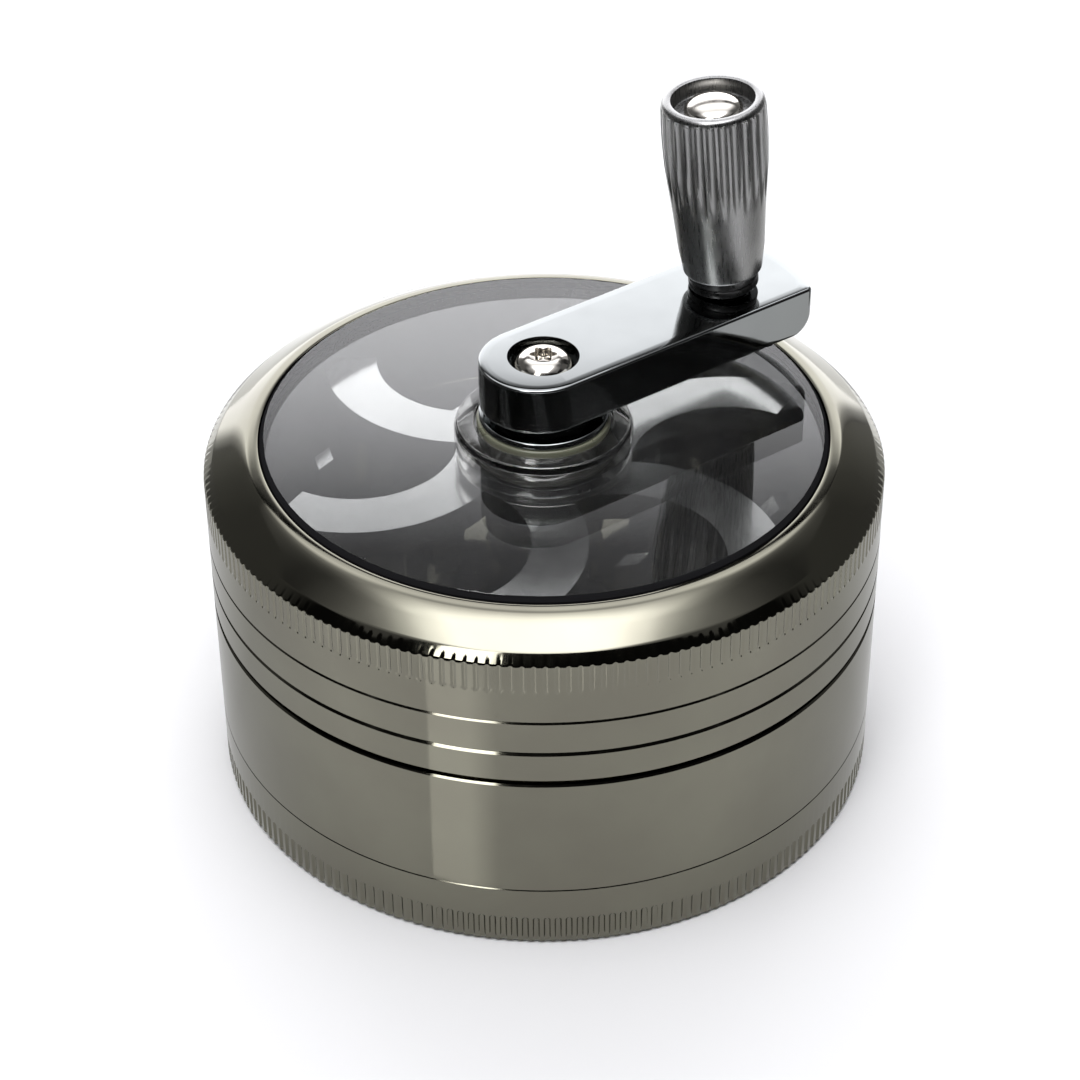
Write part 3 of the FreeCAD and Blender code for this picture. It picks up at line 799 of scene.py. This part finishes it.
# One wavy wire along X, from rings that are extruded a pitch at a time.
def wavyWire(count, sign):
    bm = bmesh.new()
    ring = bmesh.ops.create_circle(bm, radius=net["wire"] * mm, segments=net["sides"])["verts"]
    bmesh.ops.rotate(bm, verts=ring, cent=(0, 0, 0), matrix=Matrix.Rotation(math.pi / 2, 3, "Y"))
    lift = net["wire"] * mm * sign
    bmesh.ops.translate(bm, verts=ring, vec=(-count / 2 * net["pitch"] * mm, 0, lift))
    edges = bm.edges[:]
    for _ in range(count):
        made = bmesh.ops.extrude_edge_only(bm, edges=edges)
        ring = pointsOf(made)
        edges = edgesAmong(made, ring)
        lift = -lift
        bmesh.ops.translate(bm, verts=ring, vec=(net["pitch"] * mm, 0, 2 * lift))
    return bm


def addNet():
    size = span("sieve_mesh")
    radius = size["radius"]
    inner = radius - net["border"]
    half = (size["top"] - size["bottom"]) / 2
    bm = turned(ringSteps(inner, radius, -half, half), facets["small"])
    rows = int(inner / net["pitch"])
    for row in range(-rows, rows + 1):
        place = row * net["pitch"]
        count = 2 * int((math.sqrt(inner ** 2 - place ** 2) + net["lap"]) / net["pitch"])
        for turn in (0, math.pi / 2):
            sign = (-1) ** (row + count // 2) * (1 if turn else -1)
            wire = wavyWire(count, sign)
            spot = Matrix.Rotation(turn, 4, "Z") @ Matrix.Translation((0, place * mm, 0))
            bmesh.ops.transform(wire, matrix=spot, verts=wire.verts)
            joinInto(bm, wire)
    bmesh.ops.translate(bm, verts=bm.verts, vec=(0, 0, (size["bottom"] + half) * mm))
    dress("wovenNet", bm, "sieve", "sieve_mesh", "net")


addNet()


# A plain ring with slightly broken corners, from the CAD node's own box.
def addRing(name, body, node, finish, bore, soft=0.08):
    size = span(node)
    steps = ringSteps(bore, size["radius"], size["bottom"], size["top"], soft)
    dress(name, turned(steps, facets["ring"]), body, node, finish)


clampWidth = 1.6
clampBore = span("sieve_clamp_ring")["radius"] - clampWidth
addRing("sieveClampRing", "sieve", "sieve_clamp_ring", "steel", clampBore)
print("sieve made")

# Grinding case: a skirt below, a floor with holes and teeth, and a spigot on top that the lid turns on
grinding = {
    "shadowDepth": 0.9,
    "shadowHeight": 0.5,
    "shadowBreak": 0.1,
    "grooveLift": 3.6,
    "groove": 0.22,
    "break": 0.18,
    "spigotInset": 2.3,
    "spigotWall": 2.3,
    "spigotRound": 0.15,
    "boreRound": 0.1,
    "ringLift": 1.45,
    "ringHeight": 1.46,
    "ringSeat": 28.54,
    "floorLift": 0.6,
    "floor": 2.2,
    "floorInset": 0.4,
    "boss": 5.2,
    "bossHeight": 0.7,
    "bossRound": 0.1,
    "magnet": 4.03,
    "magnetDepth": 1.53,
}
holes = {"radius": 1.65, "sides": 28, "rings": ((10.6, 11), (17.8, 19), (24.3, 26))}
teeth = {"length": 4.4, "width": 2.1, "taper": 0.86, "top": 27.01, "angle": 168.6, "count": 4,
         "rings": ((21.25, 0), (14.3, 45))}


def addGrindingCase():
    size = span("grinding_case")
    radius = bodyRadius
    base = span("sieve_case")["top"]
    lidBase = span("lid_ring")["bottom"]
    male = skirtRadius(radius - thread["rim"])
    skirt = male - thread["skirt"]
    spigot = radius - grinding["spigotInset"]
    bore = spigot - grinding["spigotWall"]
    inner = bore - grinding["floorInset"]
    under = base + grinding["floorLift"]
    floor = under + grinding["floor"]
    neck = radius - grinding["shadowDepth"]
    shadow = base + grinding["shadowHeight"]
    soft = grinding["shadowBreak"]
    groove = base + grinding["grooveLift"]
    cut = grinding["groove"]
    seat = grinding["ringSeat"]
    ringBase = lidBase + grinding["ringLift"]
    ringTop = ringBase + grinding["ringHeight"]
    steps = [(skirt, size["bottom"]), *outsideThread(male, size["bottom"], base)]
    steps += [(neck, base), (neck, shadow), (radius - soft, shadow), (radius, shadow + soft)]
    steps += [(radius, groove - cut), (radius - cut, groove), (radius, groove + cut)]
    steps += [(radius, lidBase - grinding["break"]), (radius - grinding["break"], lidBase), (spigot, lidBase)]
    steps += [(spigot, ringBase), (seat, ringBase), (seat, ringTop), (spigot, ringTop)]
    steps += [(spigot, size["top"], grinding["spigotRound"]), (bore, size["top"], grinding["boreRound"])]
    steps += [(bore, floor, grinding["boreRound"]), (inner, floor), (inner, under), (skirt, under)]
    dress("grindingCaseShell", turned(steps, facets["storey"]), "chamber", "grinding_case", "case")
    addChamberFloor(inner, under, floor)
    addFixedTeeth(under)


def circleOf(bm, radius, height, sides, place=(0, 0)):
    made = bmesh.ops.create_circle(bm, radius=radius * mm, segments=sides)
    bmesh.ops.translate(bm, verts=made["verts"], vec=(place[0] * mm, place[1] * mm, height * mm))
    return made["verts"]


def magnetBoss(under, floor):
    outer = grinding["boss"]
    pocket = grinding["magnet"]
    top = floor + grinding["bossHeight"]
    seat = top - grinding["magnetDepth"]
    steps = [(0, under), (0, seat), (pocket, seat), (pocket, top)]
    steps += [(outer, top, grinding["bossRound"]), (outer, under)]
    return turned(steps, facets["boss"])


# The floor is a disc with holes, thickened downwards, with the magnet's boss in its middle.
def addChamberFloor(radius, under, floor):
    bm = bmesh.new()
    circleOf(bm, radius, floor, facets["floor"])
    circleOf(bm, grinding["boss"], floor, facets["boss"])
    for ring, count in holes["rings"]:
        for number in range(count):
            turn = 2 * math.pi * number / count
            place = (ring * math.cos(turn), ring * math.sin(turn))
            circleOf(bm, holes["radius"], floor, holes["sides"], place)
    bmesh.ops.triangle_fill(bm, use_beauty=True, use_dissolve=False, edges=bm.edges, normal=(0, 0, 1))
    lower = bmesh.ops.extrude_face_region(bm, geom=bm.faces[:])
    bmesh.ops.translate(bm, verts=pointsOf(lower), vec=(0, 0, (under - floor) * mm))
    joinInto(bm, magnetBoss(under, floor))
    dress("chamberFloor", bm, "chamber", "grinding_case", "case")


def addFixedTeeth(under):
    bm = bmesh.new()
    for ring, start in teeth["rings"]:
        for number in range(teeth["count"]):
            addTooth(bm, ring, teeth["angle"] + start + 360 / teeth["count"] * number, under, teeth["top"])
    dress("fixedTeeth", bm, "chamber", "grinding_case", "zinc")


def addTooth(bm, ring, angle, bottom, top):
    made = bmesh.ops.create_circle(bm, radius=mm, segments=4, cap_ends=True)
    verts = made["verts"]
    bmesh.ops.scale(bm, verts=verts, vec=(teeth["width"] / 2, teeth["length"] / 2, 1))
    face = list({face for vert in verts for face in vert.link_faces})
    upper = pointsOf(bmesh.ops.extrude_face_region(bm, geom=face))
    bmesh.ops.scale(bm, verts=upper, vec=(teeth["taper"], teeth["taper"], 1))
    bmesh.ops.translate(bm, verts=upper, vec=(0, 0, (top - bottom) * mm))
    turn = math.radians(angle)
    spot = Matrix.Translation((ring * math.cos(turn) * mm, ring * math.sin(turn) * mm, bottom * mm))
    bmesh.ops.transform(bm, matrix=spot @ Matrix.Rotation(turn, 4, "Z"), verts=verts + upper)


addGrindingCase()

# A solid disc, made as a ring with a pinhole
magnetBore = 0.01
addRing("chamberMagnet", "chamber", "chamber_magnet", "magnet", magnetBore)
print("grinding case made")

# Lid ring: the dome is a cone that rolls over into a narrow land beside the window's opening.
lid = {
    "bore": 29.6,
    "shoulder": 30.3,
    "cavity": 27.9,
    "lip": 33.51,
    "opening": 26.3,
    "break": 0.12,
    "reedFoot": 29.58,
    "reedGap": 0.05,
    "chamferGap": 0.12,
    "chamfer": ((31.49, 31.98), (31.44, 32.07), (31.36, 32.16), (30.68, 32.84), (30.58, 32.93),
                (30.46, 33.01)),
    "dome": ((28.9, 33.97), (28.5, 34.2), (28.15, 34.385), (27.8, 34.555), (27.5, 34.685), (27.34, 34.745)),
    "land": ((27.2, 34.778), (27.05, 34.802), (26.75, 34.835), (26.45, 34.853), (26.36, 34.83),
             (26.31, 34.77)),
}


def addLidRing():
    radius = bodyRadius
    base = span("lid_ring")["bottom"]
    ends = [lid["reedFoot"] - end * lidReeds["stretch"] for end in reversed(lidReeds["ends"])]
    steps = [(lid["bore"], base), (radius - lid["break"], base), (radius, base + lid["break"])]
    steps += [(radius, height) for height in (ends[0] - lid["reedGap"], *ends)]
    steps += [(radius, lid["chamfer"][0][1] - lid["chamferGap"]), *lid["chamfer"], *lid["dome"], *lid["land"]]
    steps += [(lid["opening"], lid["lip"]), (lid["cavity"], lid["lip"])]
    steps += [(lid["cavity"], lid["shoulder"]), (lid["bore"], lid["shoulder"])]
    bm = turned(steps, reedCount * len(lidReeds["columns"]), reedCount)
    cutReeds(bm, lidReeds, radius, lid["reedFoot"], math.inf)
    dress("lidShell", bm, "lid", "lid_ring", "case")


addLidRing()
retainerWidth = 1.95
retainerBore = span("window_retaining_ring")["radius"] - retainerWidth
addRing("windowRetainingRing", "lid", "window_retaining_ring", "dark", retainerBore)

# Window, with its boss and the bearing in it
window = {
    "radius": 26.18,
    "thickness": 2.95,
    "chamfer": 0.4,
    "chamferRound": 0.04,
    "flange": 27.7,
    "flangeThickness": 1.2,
    "boss": 8.1,
    "bossRise": 0.75,
    "bossFoot": 0.12,
    "bossRound": 0.22,
    "bossUnder": 0.2,
    "recess": 6.45,
    "recessDepth": 0.5,
    "recessRound": 0.1,
    "bore": 5.4,
}


def addWindow():
    size = span("window")
    top = size["top"] - window["bossRise"]
    under = top - window["thickness"]
    floor = size["top"] - window["recessDepth"]
    ledge = under + window["flangeThickness"]
    rim = window["radius"]
    boss = window["boss"]
    recess = window["recess"]
    chamfer = window["chamfer"]
    steps = [(window["bore"], size["bottom"]), (boss, size["bottom"], window["bossUnder"]), (boss, under)]
    steps += [(window["flange"], under), (window["flange"], ledge), (rim, ledge)]
    steps += [(rim, top - chamfer, window["chamferRound"]), (rim - chamfer, top)]
    steps += [(boss, top, window["bossFoot"]), (boss, size["top"], window["bossRound"])]
    steps += [(recess, size["top"], window["recessRound"]), (recess, floor), (window["bore"], floor)]
    dress("windowDisc", turned(steps, facets["window"]), "lid", "window", "acrylic")


addWindow()

# The bores of the pieces that the shaft turns in, and of those that turn with it
bearingBore = 3.95
shaftBore = 3.93
addRing("shaftBushing", "lid", "shaft_bushing", "dark", bearingBore)
addRing("nylonWasher", "lid", "nylon_washer", "nylon", bearingBore, 0.25)
addRing("steelWasher", "crank", "steel_washer", "crank", shaftBore, 0.2)
addRing("rotorWasher", "crank", "rotor_washer", "greyNylon", shaftBore, 0.05)
print("lid made")

# Crank arm: a bar with a round heel and a bowed tip, built up from its outlines, with two wells in its
# top. The knob stands in the second one at a slight lean.
crank = {
    "angle": 35.5,
    "throw": 20.9,
    "width": 10.9,
    "bow": 15.0,
    "end": 28.2,
    "heel": 0.6,
    "corner": 0.4,
    "edge": 0.24,
    "edgeTurns": (0, 22.5, 45, 67.5),
    "under": 2.0,
    "underTurns": range(35, 91, 11),
    "crown": 0.022,
    "crownSteps": ((0.55, 0.012), (0.75, 0.005), (1.0, 0.0)),
    "spacer": 4.4,
    "spacerHeight": 1.0,
    "spacerLap": 0.5,
    "counterbore": 3.3,
    "counterboreDepth": 1.45,
    "spot": 2.85,
    "spotDepth": 0.42,
    "foot": 0.24,
    "lean": 4.65,
}


# How far a wall has drawn in at a distance below the start of its rounded edge.
def drawnIn(radius, along):
    along = min(along, radius)
    return radius - math.sqrt(radius ** 2 - (radius - along) ** 2)


# One outline of the bar at a height: its sides and its tip are drawn in by their own amounts.
def barOutline(bm, height, sideIn, tipIn):
    half = crank["width"] / 2 - sideIn
    bow = crank["bow"] - tipIn
    centre = crank["end"] - crank["bow"]
    swing = math.asin(half / bow)
    before = set(bm.edges)
    heel = bm.verts.new(Vector((-crank["heel"], -half, height)) * mm)
    tip = bm.verts.new(Vector((centre + bow * math.cos(swing), half, height)) * mm)
    for point, middle, angle, steps in ((heel, -crank["heel"], math.pi, 64), (tip, centre, 2 * swing, 20)):
        bmesh.ops.spin(bm, geom=[point], cent=Vector((middle, 0, height)) * mm, axis=(0, 0, -1),
                       dvec=(0, 0, 0), angle=angle, steps=steps)
    loop = [edge for edge in bm.edges if edge not in before]
    ends = [vert for vert in {vert for edge in loop for vert in edge.verts} if len(vert.link_edges) == 1]
    for side in (1, -1):
        bm.edges.new([vert for vert in ends if vert.co.y * side > 0])
    roundCorners(bm, [vert for vert in ends if vert.co.x > 0], crank["corner"])
    return [edge for edge in bm.edges if edge not in before]


# The heights of the bar's outlines, close together where its lower and upper edges are round
def barHeights(bottom, brow):
    rises = [crank["edge"] * (1 - math.cos(math.radians(turn))) for turn in crank["edgeTurns"]]
    unders = [crank["under"] * (1 - math.cos(math.radians(turn))) for turn in crank["underTurns"]]
    uppers = [brow - rise for rise in (crank["edge"], *reversed(rises))]
    return [bottom + rise for rise in rises + unders] + uppers


# Takes a loop of edges straight down and closes it with a flat face.
def sink(bm, edges, depth):
    made = bmesh.ops.extrude_edge_only(bm, edges=edges)
    lower = pointsOf(made)
    bmesh.ops.translate(bm, verts=lower, vec=(0, 0, -depth * mm))
    bmesh.ops.edgeloop_fill(bm, edges=edgesAmong(made, set(lower)))


# The flat middle of the bar's top, with the screw's counterbore and the knob's seat sunk into it
def addBarTop(bm, outline, top):
    wells = []
    for radius, depth, place in ((crank["counterbore"], crank["counterboreDepth"], 0),
                                 (crank["spot"], crank["spotDepth"], crank["throw"])):
        verts = circleOf(bm, radius, top, facets["well"], (place, 0))
        wells.append((list({edge for vert in verts for edge in vert.link_edges}), depth))
    rim = outline + [edge for edges, depth in wells for edge in edges]
    bmesh.ops.triangle_fill(bm, use_beauty=True, use_dissolve=False, edges=rim, normal=(0, 0, 1))
    for edges, depth in wells:
        sink(bm, edges, depth)


def addCrankArm():
    size = span("crank_arm")
    bottom = size["bottom"] + crank["spacerHeight"]
    brow = size["top"] - crank["crown"]
    bm = bmesh.new()
    loops = []
    for height in barHeights(bottom, brow):
        upper = drawnIn(crank["edge"], brow - height)
        side = max(upper, drawnIn(crank["edge"], height - bottom))
        loops.append(barOutline(bm, height, side, max(upper, drawnIn(crank["under"], height - bottom))))
    loops += [barOutline(bm, size["top"] - drop, inset, inset) for inset, drop in crank["crownSteps"]]
    for lower, upper in zip(loops, loops[1:]):
        bmesh.ops.bridge_loops(bm, edges=lower + upper)
    bmesh.ops.edgeloop_fill(bm, edges=loops[0])
    addBarTop(bm, loops[-1], size["top"])
    spacer = ringSteps(shaftBore, crank["spacer"], size["bottom"], bottom + crank["spacerLap"])
    joinInto(bm, turned(spacer, facets["small"]))
    bmesh.ops.transform(bm, matrix=Matrix.Rotation(math.radians(crank["angle"]), 4, "Z"), verts=bm.verts)
    dress("crankBar", bm, "crank", "crank_arm", "crank", sharp=40)


addCrankArm()

# Crank screw, a button head with a six-lobed recess. Its dome is given as radius and drop.
screw = {
    "head": 2.85,
    "headHeight": 1.65,
    "rim": 0.35,
    "rimRound": 0.06,
    "dome": ((2.12, 0.27), (2.55, 0.72), (2.76, 1.08)),
    "land": 0.3,
    "recess": 1.2,
    "recessDepth": 0.9,
    "recessFoot": 0.01,
    "recessCone": 0.3,
    "mouth": 0.06,
    "lobes": 6,
    "lobe": 0.15,
    "lobeReach": 0.1,
    "shank": 1.45,
}


def addCrankScrew():
    size = span("crank_screw")
    top = size["top"]
    seat = top - screw["headHeight"]
    recess = screw["recess"]
    floor = top - screw["recessDepth"]
    mouth = screw["mouth"]
    steps = [(0, floor - screw["recessCone"]), (recess, floor), (recess, floor + screw["recessFoot"])]
    steps += [(recess, top - mouth), (recess + mouth, top), (recess + screw["land"], top, screw["land"])]
    steps += [(radius, top - drop) for radius, drop in screw["dome"]]
    steps += [(screw["head"], seat + screw["rim"], screw["rimRound"]), (screw["head"], seat)]
    steps += [(screw["shank"], seat), (screw["shank"], size["bottom"]), (0, size["bottom"])]
    bm = turned(steps, facets["screw"])
    for vert in bm.verts:
        flat = math.hypot(vert.co.x, vert.co.y) / mm
        if vert.co.z / mm > floor - hair and abs(flat - recess) < screw["lobeReach"]:
            wave = math.cos(screw["lobes"] * math.atan2(vert.co.y, vert.co.x))
            vert.co.xy *= 1 + screw["lobe"] * (wave - 1)
    dress("crankScrew", bm, "crank", "crank_screw", "steel")


addCrankScrew()


# The knob's place along the arm, at a height in millimetres
def knobPlace(height):
    turn = math.radians(crank["angle"])
    return Vector((crank["throw"] * math.cos(turn), crank["throw"] * math.sin(turn), height)) * mm


def onCrank(bm):
    spot = Matrix.Translation(knobPlace(span("crank_arm")["top"] - crank["foot"]))
    lean = Matrix.Rotation(math.radians(-crank["lean"]), 4, "Y")
    bmesh.ops.transform(bm, matrix=spot @ lean, verts=bm.verts)
    return bm


# The knob's finish: fine brush marks that run up and down its leaning wall.
brushed = {
    "light": rgba(0.32, 0.32, 0.315),
    "dark": rgba(0.28, 0.28, 0.28),
    "polish": (0.24, 0.34),
    "across": 0.2,
    "along": 80,
    "depth": 0.001,
    "start": 43,
}


def paintBrushed(start):
    sockets = {"Vector": start.node("ShaderNodeTexCoord", {}, {}, 3), "Location": knobPlace(brushed["start"])}
    sockets["Rotation"] = (0, math.radians(-crank["lean"]), 0)
    sockets["Scale"] = [brushed[way] * mm for way in ("across", "across", "along")]
    streaks = start.node("ShaderNodeMapping", {"vector_type": "TEXTURE"}, sockets)
    marks = start.node("ShaderNodeTexNoise", {}, {"Vector": streaks, "Scale": 1.0, "Detail": 3})
    sockets = {"Base Color": marks.ranged(*spread["narrow"], 0, 1).colours(brushed["dark"], brushed["light"])}
    sockets["Metallic"] = 1.0
    sockets["Roughness"] = marks.ranged(*spread["wide"], *brushed["polish"])
    sockets["Normal"] = bump(start, marks, brushed["depth"])
    return surface(start, sockets)


finishes["brushed"] = makeMaterial("brushedNickel", paintBrushed)

# Knob: fluted, waisted and cupped at the top
knob = {
    "foot": 0.65,
    "height": 19.27,
    "bore": 1.65,
    "flutes": 28,
    "flute": 0.42,
    "fluteReach": 4.44,
    "fluteLow": 2.3,
    "fluteTop": 18.52,
    "fluteEnd": 0.5,
    "columns": (0, 0.15, 0.28, 0.36, 0.4, 0.425, None, -0.425, -0.4, -0.36, -0.28, -0.15),
    "collar": ((1.65, 0), (3.3, 0, 0.06), (3.3, 0.62, 0.03), (3.14, 0.68, 0.03), (3.14, 0.82, 0.03),
               (3.3, 0.88, 0.03), (3.3, 1.58), (1.65, 1.58)),
    "base": ((1.65, 1.57), (3.52, 1.57), (3.63, 1.61), (3.7, 1.7), (3.73, 1.84)),
    "wall": ((3.78, 2.22), (3.88, 3.0), (4.02, 3.95), (4.18, 6.05), (4.36, 8.25), (4.42, 8.85), (4.475, 9.45),
             (4.53, 10.05), (4.585, 10.65), (4.68, 11.65), (4.76, 12.55), (4.83, 14.2), (4.86, 15.85),
             (4.84, 17.0), (4.8, 18.0), (4.785, 18.36), (4.775, 18.52), (4.77, 18.62)),
    "rim": ((4.735, 18.84), (4.66, 19.03), (4.54, 19.17), (4.38, 19.26), (4.2, 19.27), (3.98, 19.27),
            (3.86, 19.22), (3.8, 19.1)),
    "cup": 3.8,
    "cupDepth": 1.5,
    "cupRound": 0.2,
    "cupWall": 0.3,
}


# The flutes leave out the wall's foot and the inside of the cup.
def cutFlutes(bm):
    axis = knob["fluteReach"] + knob["flute"]
    for vert in bm.verts:
        flat = math.hypot(vert.co.x, vert.co.y) / mm
        height = vert.co.z / mm - knob["foot"]
        inCup = flat < knob["cup"] + knob["cupWall"] and height > knob["height"] / 2
        if height < knob["fluteLow"] or inCup:
            continue
        angle, across = besideNotch(vert, knob["flutes"], knob["columns"], flat)
        beyond = max(height - knob["fluteTop"], 0) / knob["fluteEnd"]
        room = knob["flute"] ** 2 - across ** 2 - beyond ** 2
        if room > 0:
            flat = min(flat, axis - math.sqrt(room))
        moveTo(vert, flat, angle)
    half = Matrix.Rotation(math.pi / knob["flutes"], 3, "Z")
    bmesh.ops.rotate(bm, verts=bm.verts, cent=(0, 0, 0), matrix=half)


def raised(steps):
    return [(step[0], step[1] + knob["foot"], *step[2:]) for step in steps]


def addKnob():
    floor = knob["height"] - knob["cupDepth"]
    steps = [*knob["base"], *knob["wall"], *knob["rim"]]
    steps += [(knob["cup"], floor, knob["cupRound"]), (knob["bore"], floor)]
    bm = turned(raised(steps), knob["flutes"] * len(knob["columns"]), knob["flutes"])
    cutFlutes(bm)
    dress("knobGrip", onCrank(bm), "grip", "knob", "brushed")
    # Painted shade: the collar takes the dark steel finish to stand for the shade beneath the knob's
    # overhang.
    collar = turned(raised(knob["collar"]), facets["collar"])
    dress("knobCollar", onCrank(collar), "grip", "knob", "dark")


# The pin that the knob spins on, with a domed head in the cup, and the washer below the knob
pin = {
    "foot": -4.36,
    "footRadius": 1.4,
    "radius": 1.6,
    "gap": 0.1,
    "head": 2.7,
    "rim": 0.35,
    "dome": 1.1,
    "domeTurns": range(0, 90, 9),
    "washer": 0.6,
    "washerRadius": 2.6,
    "washerBore": 1.45,
    "washerRound": 0.1,
}


def addSpindle():
    washer = pin["washer"]
    floor = washer + knob["height"] - knob["cupDepth"] + pin["gap"]
    rim = floor + pin["rim"]
    turns = [math.radians(turn) for turn in pin["domeTurns"]]
    steps = [(0, pin["foot"]), (pin["footRadius"], pin["foot"]), (pin["footRadius"], washer)]
    steps += [(pin["radius"], washer), (pin["radius"], floor), (pin["head"], floor)]
    steps += [(pin["head"] * math.cos(turn), rim + pin["dome"] * math.sin(turn)) for turn in turns]
    steps += [(0, rim + pin["dome"])]
    dress("knobPin", onCrank(turned(steps, facets["small"])), "crank", "knob_spindle", "steel")
    outer = pin["washerRadius"]
    soft = pin["washerRound"]
    ring = [(pin["washerBore"], 0), (outer, 0, soft), (outer, washer, soft), (pin["washerBore"], washer)]
    dress("knobRing", onCrank(turned(ring, facets["small"])), "crank", "knob_washer", "dark")


addKnob()
addSpindle()
print("crank and knob made")

# Pieces that keep their CAD shape
carriedOver = {
    "rotor": "zinc",
    "drive_shaft": "dark",
    "rotor_screw": "steel",
    "rotor_magnet": "magnet",
    "lid_friction_ring": "nylon",
}
for node, finish in carriedOver.items():
    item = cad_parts[node]
    item.data.materials.clear()
    item.data.materials.append(finishes[finish])
print("CAD nodes finished")
